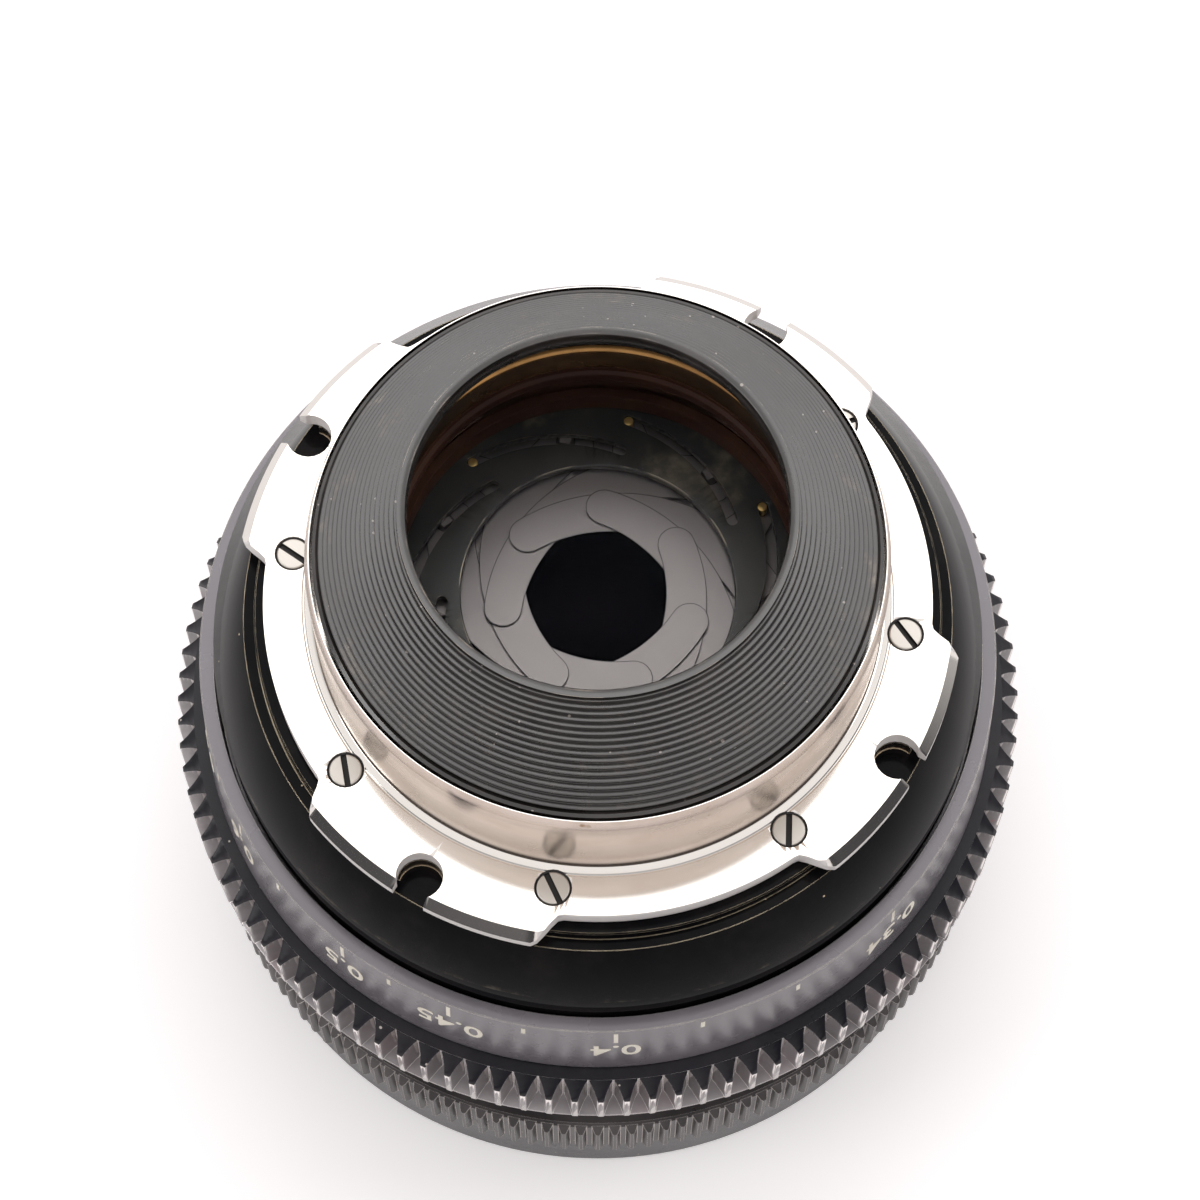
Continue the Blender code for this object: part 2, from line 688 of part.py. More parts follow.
def focus_group():
    """The focus ring with its scale band, its gear, and the brass helicoid that drives the optics."""
    carrier_empty = carrier("focus_carrier")
    inner_face = skirt_z - FIT
    ring = turned(
        "focus_ring",
        [
            (ring_bore_r, focus_ring_top),
            (scale_r, focus_ring_top),
            (scale_foot_r, scale_z),
            (gear_seat_r, scale_z),
            (gear_seat_r, focus_ring_z),
            (helicoid_r + FIT, focus_ring_z),
            (helicoid_r + FIT, helicoid_top + FIT),
            (nut_r, helicoid_top + FIT),
            (nut_r, nut_top + FIT + FIT),
            (sleeve_r + FIT, nut_top + FIT + FIT),
            (sleeve_r + FIT, inner_face),
            (ring_bore_r, inner_face),
        ],
        "satin_black",
        carrier_empty,
        OUTER_SIDES,
    )
    play_deg = math.degrees((STOP_PIN_R + FIT) / stop_pin_circle_r)
    groove = sector(
        stop_pin_circle_r - STOP_PIN_R - FIT,
        stop_pin_circle_r + STOP_PIN_R + FIT,
        stop_groove_z,
        inner_face + 1,
        STOP_PIN_DEG - FOCUS_FAR_DEG - play_deg,
        STOP_PIN_DEG + FOCUS_NEAR_DEG + play_deg,
    )
    cut(ring, [groove])
    focus_gear(carrier_empty)
    turned(
        "focus_helicoid",
        hoop(drum_r + FIT, helicoid_r, focus_ring_z + FIT, helicoid_top),
        "brass",
        carrier_empty,
    )


def focus_gear(parent):
    """The follow-focus gear: straight teeth, their upper ends cut back by a cone."""
    pitch_deg = 360 / gear_teeth
    points = []
    faces = []
    for tooth in range(gear_teeth):
        middle = tooth * pitch_deg
        corners = [
            (gear_bore_r, -0.5, 0.0),
            (gear_root_r, -0.25, 0.0),
            (gear_root_r + GEAR_DEPTH, -0.17, GEAR_DEPTH),
            (gear_root_r + GEAR_DEPTH, 0.17, GEAR_DEPTH),
            (gear_root_r, 0.25, 0.0),
        ]
        angles = [middle + share * pitch_deg for _, share, _ in corners]
        points += [polar(corner[0], angle, gear_top - corner[2]) for corner, angle in zip(corners, angles)]
        points += [polar(corner[0], angle, gear_z) for corner, angle in zip(corners, angles)]
    count = len(points)
    for base in range(0, count, 10):
        bore, root, tip, tip_end, root_end = range(base, base + 5)
        low = 5
        after = (base + 10) % count
        faces += [
            (root, tip, tip_end, root_end),
            (bore, root, root_end, after + 1, after),
            (root_end + low, tip_end + low, tip + low, root + low),
            (after + low, after + 1 + low, root_end + low, root + low, bore + low),
            (root, root + low, tip + low, tip),
            (tip, tip + low, tip_end + low, tip_end),
            (tip_end, tip_end + low, root_end + low, root_end),
            (root_end, root_end + low, after + 1 + low, after + 1),
            (bore, after, after + low, bore + low),
        ]
    add_piece("focus_gear", mesh_of("focus_gear", points, faces), "satin_black", parent)


def lens_profile(radius, low, high, low_sag, high_sag):
    """A lens whose upper and lower faces bulge from the edge heights by these sags."""
    steps = 3
    upper = []
    lower = []
    for step in range(steps + 1):
        share = step / steps
        upper.append((radius * share, high + high_sag * (1 - share * share)))
        lower.append((radius * share, low + low_sag * (1 - share * share)))
    return upper + lower[::-1]


def rear_optics(parent):
    """The rear cell with the iris housing, both its lenses and their rings, and the ridged baffle."""
    cell = turned(
        "rear_cell",
        [
            (cell_bore_r, cell_top),
            (cell_r, cell_top),
            (cell_r, cell_flange_top),
            (drum_r - FIT, cell_flange_top),
            (drum_r - FIT, cell_z),
            (cell_r, cell_z),
            (cell_r, cell_foot_z),
            (cell_bore_r - CELL_LEDGE_W, cell_foot_z),
            (cell_bore_r - CELL_LEDGE_W, cell_ledge_z),
            (cell_bore_r - CELL_LEDGE_W - INNER_STEP, cell_ledge_z),
            (cell_bore_r - CELL_LEDGE_W - INNER_STEP, cell_ledge_top),
            (cell_bore_r, cell_ledge_top),
        ],
        "matt_black",
        parent,
    )
    start_deg, end_deg = link_window(link_r)
    window_z = cam_z - LINK_WINDOW_GAP
    window_top = cam_top + LINK_WINDOW_GAP
    wall_window = sector(cell_bore_r - 1, cell_r + 1, window_z, window_top, start_deg, end_deg)
    flange_window = sector(
        link_r - FIT, link_outer_r + FIT, cell_z - 1, cell_flange_top + 1, start_deg, end_deg
    )
    cut(cell, [wall_window, flange_window])
    profile = lens_profile(seat_r, rear_glass_z, rear_glass_top, REAR_GLASS_SAG, REAR_GLASS_SAG)
    turned("rear_glass", profile, "glass", parent)
    turned(
        "rear_retainer",
        hoop(seat_r - REAR_RETAINER_W, seat_r, rear_retainer_z, rear_retainer_top),
        "brass",
        parent,
    )
    turned("iris_spacer", hoop(seat_r - SPACER_W, seat_r, spacer_z, spacer_top), "matt_black", parent)
    inner_seat_r = cell_bore_r - CELL_LEDGE_W - FIT
    spacer_bore_r = inner_seat_r - INNER_RETAINER_W
    inner_sags = -INNER_GLASS_SAG, INNER_GLASS_SAG
    profile = lens_profile(inner_seat_r, inner_glass_z, inner_glass_top, *inner_sags)
    turned("inner_glass", profile, "glass", parent)
    profile = hoop(spacer_bore_r, inner_seat_r, glass_spacer_z, glass_spacer_top)
    turned("glass_spacer", profile, "matt_black", parent)
    profile = lens_profile(inner_seat_r, middle_glass_z, middle_glass_top, *inner_sags)
    turned("middle_glass", profile, "glass", parent)
    profile = hoop(spacer_bore_r, inner_seat_r, inner_retainer_z, inner_retainer_top)
    turned("inner_retainer", profile, "matt_black", parent)
    rear_baffle(parent)


def rear_baffle(parent):
    """The rear light baffle: a cone from the mount tube up to its lip, with a collar round the cell."""
    lip_outer_r = baffle_lip_r + BAFFLE_LIP_W
    slope = (baffle_top - baffle_rim_top) / (baffle_r - lip_outer_r)
    collar_r = cell_r + FIT
    collar_outer_r = collar_r + BAFFLE_COLLAR_W

    def under(radius):
        return baffle_top - (radius - lip_outer_r) * slope - BAFFLE_T * 1.5

    turned(
        "rear_baffle",
        [
            (baffle_lip_r, baffle_top),
            (lip_outer_r, baffle_top),
            (baffle_r, baffle_rim_top),
            (baffle_r, baffle_rim_top - BAFFLE_T),
            (baffle_r - BAFFLE_SKIRT_W, baffle_rim_top - BAFFLE_T),
            (collar_outer_r, under(collar_outer_r)),
            (collar_outer_r, cell_top - BAFFLE_COLLAR_LAP),
            (collar_r, cell_top - BAFFLE_COLLAR_LAP),
            (collar_r, under(collar_r)),
            (baffle_lip_r, baffle_top - BAFFLE_LIP_H),
        ],
        "matt_black",
        parent,
        OUTER_SIDES,
    )


def link_window(radius):
    """Start and end angles of an opening that lets the iris link swing at this radius."""
    half_deg = math.degrees(math.asin(LINK_W / 2 / radius)) + LINK_PLAY_DEG
    return LINK_DEG - half_deg, LINK_DEG + CAM_TURN_DEG + half_deg


def front_optics(parent):
    """The main barrel with its drum and keyways, the front lens in its cell, and the rim it stands on."""
    barrel = turned(
        "main_barrel",
        [
            (link_outer_r + LINK_ROOM, barrel_top),
            (drum_r, barrel_top),
            (drum_r, shoulder_z),
            (barrel_r, shoulder_z),
            (barrel_r, barrel_foot),
            (front_bore_r, barrel_foot),
            (front_bore_r, front_seat_z),
            (barrel_bore_r, front_seat_z),
            (barrel_bore_r, barrel_top - BARREL_LIP_H),
            (link_outer_r + LINK_ROOM, barrel_top - BARREL_LIP_H),
        ],
        "satin_black",
        parent,
    )
    start_deg, end_deg = link_window(barrel_bore_r)
    foot_low = link_foot_z - FIT
    foot_high = link_foot_top + FIT
    shapes = [sector(barrel_bore_r - 2, barrel_r + 1, foot_low, foot_high, start_deg, end_deg)]
    keyway_z = key_z - focus_rise - FIT
    for index in range(KEYS):
        keyway = box(sleeve_bore_r - KEY_T - 2 * FIT, drum_r + 1, KEY_W + 2 * FIT, keyway_z, barrel_top + 1)
        shapes.append(turned_by(keyway, KEY_DEG + 360 * index / KEYS))
    cut(barrel, shapes)
    turned(
        "front_cell",
        [
            (front_cell_r, front_cell_top),
            (front_cell_r, front_cell_top - FRONT_CELL_H),
            (front_glass_r + FIT, front_cell_top - FRONT_CELL_H),
            (front_glass_r + FIT, front_cell_top - FRONT_LEDGE_H),
            (front_glass_r + FIT - FRONT_LEDGE_W, front_cell_top - FRONT_LEDGE_H),
            (front_glass_r + FIT - FRONT_LEDGE_W, front_cell_top),
        ],
        "matt_black",
        parent,
    )
    profile = lens_profile(front_glass_r, front_glass_z, front_glass_top, -FRONT_SAG, -FRONT_BACK_SAG)
    turned("front_glass", profile, "glass", parent)
    retainer_top = front_glass_z - FIT
    retainer_z = retainer_top - FRONT_RETAINER_H
    profile = hoop(front_glass_r - FRONT_RETAINER_W, front_glass_r, retainer_z, retainer_top)
    turned("front_retainer", profile, "satin_black", parent)
    turned(
        "front_rim",
        [
            (rim_r, RIM_H),
            (rim_r, RIM_CHAMFER),
            (rim_r - RIM_CHAMFER, 0),
            (filter_r, 0),
            (filter_r, barrel_foot - FIT),
            (rim_bore_r, barrel_foot - FIT),
            (rim_bore_r, RIM_H),
        ],
        "satin_black",
        parent,
        OUTER_SIDES,
    )
    nut_outer_r = iris_ring_r - IRIS_TOOTH_DEPTH - IRIS_NUT_INSET
    profile = hoop(barrel_r + FIT, nut_outer_r, iris_nut_z, iris_nut_z + IRIS_NUT_H)
    turned("iris_retaining_ring", profile, "satin_black", parent)


def iris_base(parent):
    """The plate under the blades, with a post for each blade to swing on."""
    base = turned("iris_base", hoop(base_bore_r, seat_r, base_z, base_top), "matt_black", parent)
    posts = []
    for index in range(BLADES):
        post = moved_by(cylinder(POST_R, base_z + BASE_T / 4, blades_top, 8), *polar(PIVOT_CIRCLE_R, 0)[:2])
        posts.append(turned_by(post, PIVOT_DEG + 360 * index / BLADES))
    merge(base, posts)


def iris_control(parent):
    """What turns to set the aperture: the fine-toothed iris ring, the link and the slotted cam ring."""
    turning = carrier("iris_carrier", parent)
    iris_ring(turning)
    half = LINK_W / 2
    profile = [
        (link_r, cam_z - ARM_INSET),
        (link_r, link_foot_z),
        (iris_ring_bore_r + LINK_KEY_DEPTH, link_foot_z),
        (iris_ring_bore_r + LINK_KEY_DEPTH, link_foot_top),
        (link_outer_r, link_foot_top),
        (link_outer_r, cam_z - ARM_INSET),
    ]
    bar_points, bar_faces = prism(profile, -half, half)
    bar = [(x, -depth, z) for x, z, depth in bar_points], bar_faces
    add_piece("iris_link", mesh_of("iris_link", *turned_by(bar, LINK_DEG)), "brass", turning)
    profile = hoop(cam_bore_r, seat_r, cam_z, cam_top)
    cam = turned("iris_cam_ring", profile, "blade_grey", turning, OUTER_SIDES)
    arm = box(seat_r - ARM_LAP, link_outer_r - ARM_INSET, ARM_W, cam_z + ARM_INSET, cam_top - ARM_INSET)
    merge(cam, [turned_by(arm, LINK_DEG)])
    slot = prism(slot_outline(), cam_z - 1, cam_top + 1)
    cut(cam, [turned_by(slot, 360 * index / BLADES) for index in range(BLADES)])


def iris_ring(parent):
    """The iris ring, with fine straight teeth and a notch inside for the link's foot."""
    pitch_deg = 360 / IRIS_TEETH
    points = []
    faces = []
    for tooth in range(IRIS_TEETH):
        corners = [
            (iris_ring_bore_r, 0.0),
            (iris_ring_r - IRIS_TOOTH_DEPTH, 0.0),
            (iris_ring_r, 0.5),
        ]
        for z in (iris_ring_top, iris_ring_z):
            points += [polar(radius, (tooth + share) * pitch_deg, z) for radius, share in corners]
    count = len(points)
    for base in range(0, count, 6):
        bore, root, tip = range(base, base + 3)
        low = 3
        after = (base + 6) % count
        faces += [
            (bore, root, tip, after + 1, after),
            (after + low, after + 1 + low, tip + low, root + low, bore + low),
            (root, root + low, tip + low, tip),
            (tip, tip + low, after + 1 + low, after + 1),
            (bore, after, after + low, bore + low),
        ]
    ring = add_piece("iris_ring", mesh_of("iris_ring", points, faces), "satin_black", parent)
    notch = box(
        iris_ring_bore_r - 1,
        iris_ring_bore_r + LINK_KEY_DEPTH + FIT,
        LINK_W + 2 * STUD_PLAY,
        link_foot_z - FIT,
        link_foot_top + FIT,
    )
    cut(ring, [turned_by(notch, LINK_DEG)])


def iris_blades(parent):
    """Thin sickle blades, one above the other, each with a hole on its post and a brass stud in the cam."""
    outline = blade_outline()
    blade_points, blade_faces = prism(outline, 0, BLADE_T)
    mesh = mesh_of("iris_blade", blade_points, blade_faces)
    hole = mesh_of("iris_blade.hole", *cylinder(POST_R + STUD_PLAY, -1, 1, 8))
    pivot = Vector(polar(PIVOT_CIRCLE_R, PIVOT_DEG)[:2])
    stud_x, stud_y = stud_place(0.0) - pivot
    stud_top = cam_top - STUD_INSET
    for index in range(BLADES):
        blade_z = blades_top - BLADE_T - index * blade_pitch
        blade = add_piece(f"iris_blade_{index + 1}", mesh, "blade_grey", parent)
        blade.location = Vector(polar(PIVOT_CIRCLE_R, PIVOT_DEG + 360 * index / BLADES, blade_z)) * MM
        blade.rotation_euler.z = TURN * index / BLADES
        combine(blade, hole, "DIFFERENCE", blade)
        name = f"iris_stud_{index + 1}"
        stud = moved_by(cylinder(STUD_R, BLADE_T + STUD_FOOT_GAP, stud_top - blade_z, 8), stud_x, stud_y)
        add_piece(name, mesh_of(name, *stud), "brass", blade)


def main():
    """Clears the scene and builds the lens."""
    for item in list(bpy.data.objects):
        bpy.data.objects.remove(item, do_unlink=True)
    mount_flange()
    mount_screws()
    rear_housing()
    guides()
    focus_group()
    optics = carrier("optics_carrier")
    rear_optics(optics)
    front_optics(optics)
    iris_base(optics)
    iris_control(optics)
    iris_blades(optics)


main()
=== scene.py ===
"""The looks of a cinema prime lens that stands on its front rim with its mount facing up.

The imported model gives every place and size. Each sub-assembly is a class that shapes its pieces about the
vertical optical axis, dresses them and lets them ride on their bodies. Sizes in the classes are in
millimetres, and every mesh is in metres.
"""

from __future__ import annotations

import json
import logging
import math
from collections.abc import Callable, Iterable, Sequence
from dataclasses import dataclass
from enum import Enum
from functools import partial, reduce
from itertools import pairwise

import bpy
from mathutils import Matrix, Vector

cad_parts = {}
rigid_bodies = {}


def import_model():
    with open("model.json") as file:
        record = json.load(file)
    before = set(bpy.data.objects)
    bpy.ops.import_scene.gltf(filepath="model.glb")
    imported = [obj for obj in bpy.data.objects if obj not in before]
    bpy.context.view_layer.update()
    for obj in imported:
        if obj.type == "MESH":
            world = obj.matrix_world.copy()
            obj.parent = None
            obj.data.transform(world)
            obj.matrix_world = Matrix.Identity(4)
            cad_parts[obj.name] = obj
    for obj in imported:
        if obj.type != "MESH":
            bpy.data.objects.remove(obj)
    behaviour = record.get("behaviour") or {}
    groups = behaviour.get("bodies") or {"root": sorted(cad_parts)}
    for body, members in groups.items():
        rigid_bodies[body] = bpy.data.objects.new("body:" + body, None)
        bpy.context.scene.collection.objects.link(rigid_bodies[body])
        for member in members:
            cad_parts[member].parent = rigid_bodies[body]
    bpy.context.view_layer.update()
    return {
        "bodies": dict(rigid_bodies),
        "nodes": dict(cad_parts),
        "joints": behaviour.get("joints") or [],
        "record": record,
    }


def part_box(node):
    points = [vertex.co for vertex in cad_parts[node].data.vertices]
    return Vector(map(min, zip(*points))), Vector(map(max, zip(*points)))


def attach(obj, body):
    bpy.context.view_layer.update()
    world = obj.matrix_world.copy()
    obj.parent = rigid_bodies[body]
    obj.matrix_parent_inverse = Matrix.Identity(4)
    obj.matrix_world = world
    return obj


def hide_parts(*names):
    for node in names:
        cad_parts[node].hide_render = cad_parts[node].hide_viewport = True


MM = 0.001
TURN = 2 * math.pi
FINE_SIDES = 192
ROUND_SIDES = 96
PIN_SIDES = 24
UPRIGHT = 0.5

Profile = Sequence[tuple[float, float]]
Outline = Sequence[tuple[float, float]]
Piece = bpy.types.Object
Face = bpy.types.MeshPolygon
Socket = bpy.types.NodeSocket

log = logging.getLogger("lens")


@dataclass(frozen=True)
class Span:
    """The room that a CAD node takes about the axis.

    Attributes:
        radius: The node's largest radius, in millimetres.
        low: Its lowest height, in millimetres.
        high: Its highest height, in millimetres.
    """

    radius: float
    low: float
    high: float

    @classmethod
    def of(cls, node: str) -> Span:
        """Measures a turned node.

        Args:
            node: The CAD node's name.

        Returns:
            Its radius and heights.
        """
        lowest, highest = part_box(node)
        return cls(highest.x / MM, lowest.z / MM, highest.z / MM)


def polar(radius: float, degrees: float) -> Vector:
    """A point in the plane from its radius and angle."""
    angle = math.radians(degrees)
    return Vector((radius * math.cos(angle), radius * math.sin(angle)))


def tooth_outline(root_r: float, teeth: int, flank: Profile) -> list[Vector]:
    """The outline of one tooth, its middle at angle 0.

    Args:
        root_r: Radius at the foot of the teeth, in millimetres.
        teeth: How many stand round the ring.
        flank: Height above the foot, and half width as a share of the pitch.

    Returns:
        The corners in order.
    """
    pitch = 360 / teeth
    sides = [(root_r + depth, share * pitch) for depth, share in flank]
    left = [polar(radius, -angle) for radius, angle in sides]
    return left + [polar(*side) for side in reversed(sides)]


class Bench:
    """Shapes pieces with Blender's own modelling operators."""

    @staticmethod
    def clear_selection() -> None:
        """Leaves object mode and deselects everything."""
        if bpy.context.mode != "OBJECT":
            bpy.ops.object.mode_set(mode="OBJECT")
        bpy.ops.object.select_all(action="DESELECT")

    @classmethod
    def hold(cls, piece: Piece) -> None:
        """Makes a piece the only selected object and the active one."""
        cls.clear_selection()
        bpy.context.view_layer.objects.active = piece
        piece.select_set(True)

    @staticmethod
    def named(name: str) -> Piece:
        """Names the active object and its mesh.

        Args:
            name: The piece's name.

        Returns:
            The piece.
        """
        piece = bpy.context.object
        piece.name = name
        piece.data.name = name
        return piece

    @classmethod
    def turned(
        cls, name: str, profile: Profile, sides: int = FINE_SIDES, capped: bool = False
    ) -> Piece:
        """Turns an outline about the axis by extruding and scaling one circle.

        Args:
            name: The piece's name.
            profile: Radius and height of each corner, in millimetres.
            sides: Facets round the circle.
            capped: True for a disc, whose end circles are filled, False for a closed ring.

        Returns:
            The piece.
        """
        cls.clear_selection()
        corners = list(profile) if capped else [*profile, profile[0]]
        radius, height = corners[0]
        bpy.ops.mesh.primitive_circle_add(vertices=sides, radius=radius * MM, enter_editmode=True)
        bpy.ops.transform.translate(value=(0, 0, height * MM))
        for (radius, height), (next_radius, next_height) in pairwise(corners):
            rise = (0, 0, (next_height - height) * MM)
            bpy.ops.mesh.extrude_region_move(TRANSFORM_OT_translate={"value": rise})
            if next_radius != radius:
                scale = next_radius / radius
                bpy.ops.transform.resize(value=(scale, scale, 1), center_override=(0, 0, 0))
        bpy.ops.mesh.select_all(action="SELECT")
        bpy.ops.mesh.remove_doubles(threshold=MM / 1000)
        if capped:
            bpy.ops.mesh.fill_holes(sides=0)
        bpy.ops.mesh.normals_make_consistent(inside=False)
        bpy.ops.object.mode_set(mode="OBJECT")
        return cls.named(name)

    @classmethod
    def plate(cls, name: str, outline: Outline, low: float, high: float) -> Piece:
        """Pulls a flat outline up into a plate.

        Args:
            name: The piece's name.
            outline: The corners in order, in millimetres.
            low: Height of the underside.
            high: Height of the top.

        Returns:
            The piece.
        """
        cls.clear_selection()
        bpy.ops.mesh.primitive_circle_add(vertices=len(outline), radius=MM, fill_type="NGON")
        piece = cls.named(name)
        for vertex, (x, y) in zip(piece.data.vertices, outline):
            vertex.co = (x * MM, y * MM, low * MM)
        bpy.ops.object.mode_set(mode="EDIT")
        bpy.ops.mesh.select_all(action="SELECT")
        rise = (0, 0, (high - low) * MM)
        bpy.ops.mesh.extrude_region_move(TRANSFORM_OT_translate={"value": rise})
        bpy.ops.mesh.select_all(action="SELECT")
        bpy.ops.mesh.normals_make_consistent(inside=False)
        bpy.ops.object.mode_set(mode="OBJECT")
        return piece

    @classmethod
    def pin(cls, name: str, center: Vector, radius: float, low: float, high: float) -> Piece:
        """Adds an upright round pin.

        Args:
            name: The piece's name.
            center: Its axis in the plane, in millimetres.
            radius: Its radius.
            low: Height of its foot.
            high: Height of its top.

        Returns:
            The piece.
        """
        cls.clear_selection()
        place = (center.x * MM, center.y * MM, (low + high) / 2 * MM)
        bpy.ops.mesh.primitive_cylinder_add(
            vertices=PIN_SIDES, radius=radius * MM, depth=(high - low) * MM, location=place
        )
        bpy.ops.object.transform_apply(location=True, rotation=True, scale=True)
        return cls.named(name)

    @classmethod
    def block(cls, name: str, center: Vector, size: Vector, degrees: float) -> Piece:
        """Adds a block turned about its own upright axis.

        Args:
            name: The piece's name.
            center: Its middle, in millimetres.
            size: Its three sides.
            degrees: The turn.

        Returns:
            The piece.
        """
        cls.clear_selection()
        bpy.ops.mesh.primitive_cube_add(
            size=1, location=center * MM, rotation=(0, 0, math.radians(degrees)), scale=size * MM
        )
        bpy.ops.object.transform_apply(location=True, rotation=True, scale=True)
        return cls.named(name)

    @classmethod
    def joined(cls, name: str, pieces: Sequence[Piece]) -> Piece:
        """Joins pieces into one object.

        Args:
            name: The new piece's name.
            pieces: What to join.

        Returns:
            The joined piece.
        """
        cls.clear_selection()
        for piece in pieces:
            piece.select_set(True)
        bpy.context.view_layer.objects.active = pieces[0]
        bpy.ops.object.join()
        return cls.named(name)

    @classmethod
    def cut(cls, piece: Piece, cutter: Piece) -> None:
        """Takes the cutter's shape out of the piece and deletes the cutter.

        Args:
            piece: What is cut.
            cutter: The shape taken away.
        """
        cls.hold(piece)
        modifier = piece.modifiers.new("cut", "BOOLEAN")
        modifier.operation = "DIFFERENCE"
        modifier.solver = "EXACT"
        modifier.object = cutter
        bpy.ops.object.modifier_apply(modifier=modifier.name)
        bpy.data.objects.remove(cutter)

    @classmethod
    def soften(cls, piece: Piece, width: float, angle: float = 35, segments: int = 2) -> None:
        """Rounds a piece's sharp edges and shades it smooth.

        Args:
            piece: The piece.
            width: Width of the rounding, in millimetres.
            angle: Edges sharper than this many degrees are rounded.
            segments: Steps across the rounding.
        """
        cls.hold(piece)
        if width:
            bevel = piece.modifiers.new("round", "BEVEL")
            bevel.width = width * MM
            bevel.segments = segments
            bevel.limit_method = "ANGLE"
            bevel.angle_limit = math.radians(angle)
            bpy.ops.object.modifier_apply(modifier=bevel.name)
        bpy.ops.object.shade_smooth_by_angle(angle=math.radians(angle))
        if width:
            weighted = piece.modifiers.new("flat faces", "WEIGHTED_NORMAL")
            weighted.keep_sharp = True
            bpy.ops.object.modifier_apply(modifier=weighted.name)

    @classmethod
    def repeated(cls, piece: Piece, count: int) -> None:
        """Copies a piece's shape evenly round the axis, within its own mesh.

        Args:
            piece: The piece, which holds the first shape.
            count: How many there are in all.
        """
        cls.hold(piece)
        bpy.ops.object.mode_set(mode="EDIT")
        bpy.ops.mesh.select_all(action="SELECT")
        angle = TURN * (count - 1) / count
        axis = {"center": (0, 0, 0), "axis": (0, 0, 1)}
        bpy.ops.mesh.spin(steps=count - 1, dupli=True, angle=angle, **axis)
        bpy.ops.mesh.select_all(action="SELECT")
        bpy.ops.mesh.normals_make_consistent(inside=False)
        bpy.ops.object.mode_set(mode="OBJECT")

    @staticmethod
    def paint(piece: Piece, finishes: Sequence[AnyFinish], choose: Callable[[Face], int]) -> None:
        """Gives each face one of several finishes.

        Args:
            piece: The piece.
            finishes: The finishes, the main one first.
            choose: Gives the place of a face's finish in that list.
        """
        piece.data.materials.clear()
        for finish in finishes:
            piece.data.materials.append(finish.material())
        for face in piece.data.polygons:
            face.material_index = int(choose(face))

    @classmethod
    def smooth_copy(cls, node: Piece, name: str) -> Piece:
        """Copies a CAD node's mesh with its points merged and its round faces shaded smooth.

        Args:
            node: The CAD node.
            name: The copy's name.

        Returns:
            The copy.
        """
        copy = bpy.data.objects.new(name, node.data.copy())
        bpy.context.scene.collection.objects.link(copy)
        cls.hold(copy)
        bpy.ops.object.mode_set(mode="EDIT")
        bpy.ops.mesh.select_all(action="SELECT")
        bpy.ops.mesh.remove_doubles(threshold=MM / 1000)
        bpy.ops.object.mode_set(mode="OBJECT")
        copy.data.materials.clear()
        bpy.ops.object.shade_smooth_by_angle(angle=math.radians(30))
        return cls.named(name)


class Sheet:
    """A node tree, with short calls that add nodes and join them."""

    def __init__(self, tree: bpy.types.NodeTree) -> None:
        """Takes the tree to draw in."""
        self.tree = tree

    def node(self, kind: str, **settings: object) -> bpy.types.Node:
        """Adds a node.

        Args:
            kind: The node type without its ShaderNode prefix.
            **settings: Properties to set on it.

        Returns:
            The node.
        """
        node = self.tree.nodes.new("ShaderNode" + kind)
        for name, value in settings.items():
            setattr(node, name, value)
        return node

    def feed(self, target: Socket, value: Socket | float | Sequence[float]) -> None:
        """Links a socket to the target, or sets the target's own value."""
        if isinstance(value, bpy.types.NodeSocket):
            self.tree.links.new(value, target)
        else:
            target.default_value = value

    def math(self, operation: str, *values: Socket | float, clamp: bool = False) -> Socket:
        """Adds a Math node.

        Args:
            operation: The node's operation.
            *values: Its inputs.
            clamp: Whether the result stays between 0 and 1.

        Returns:
            The result.
        """
        node = self.node("Math", operation=operation, use_clamp=clamp)
        for target, value in zip(node.inputs, values):
            self.feed(target, value)
        return node.outputs[0]

    def ramp(
        self, value: Socket, low: float, high: float, start: float = 0.0, end: float = 1.0
    ) -> Socket:
        """Maps a value from low and high to start and end, held to those limits."""
        node = self.node("MapRange", interpolation_type="SMOOTHSTEP")
        for target, given in zip(node.inputs, (value, low, high, start, end)):
            self.feed(target, given)
        return node.outputs[0]

    def mix(self, factor: Socket | float, first: object, second: object) -> Socket:
        """Blends two colours.

        Args:
            factor: 0 gives the first colour, 1 the second.
            first: A colour or socket.
            second: A colour or socket.

        Returns:
            The blended colour.
        """
        node = self.node("Mix", data_type="RGBA")
        for index, given in ((0, factor), (6, first), (7, second)):
            value = (*given, 1.0) if isinstance(given, tuple) and len(given) == 3 else given
            self.feed(node.inputs[index], value)
        return node.outputs[2]

    def noise(
        self, vector: Socket, scale: Socket | float, detail: float = 2.0, rough: float = 0.5
    ) -> Socket:
        """Adds a noise texture and returns its value."""
        node = self.node("TexNoise")
        given = {"Vector": vector, "Scale": scale, "Detail": detail, "Roughness": rough}
        for name, value in given.items():
            self.feed(node.inputs[name], value)
        return node.outputs["Fac"]

    def place(self) -> Socket:
        """The Object coordinates."""
        return self.node("TexCoord").outputs["Object"]


def shaded(name: str, fill: Callable[[Sheet, bpy.types.Node], None]) -> bpy.types.Material:
    """A material by name, drawn on its first use.

    Args:
        name: The material's name.
        fill: Draws it, from its sheet and its main shader.

    Returns:
        The material.
    """
    found = bpy.data.materials.get(name)
    if found:
        return found
    material = bpy.data.materials.new(name)
    material.use_nodes = True
    fill(Sheet(material.node_tree), material.node_tree.nodes["Principled BSDF"])
    return material


class Effect(Enum):
    """Surface effects that several finishes share. Each is one node group."""

    TURNING = "turning marks"
    WEAR = "edge wear"
    DUST = "dust and specks"
    STAIN = "stains"


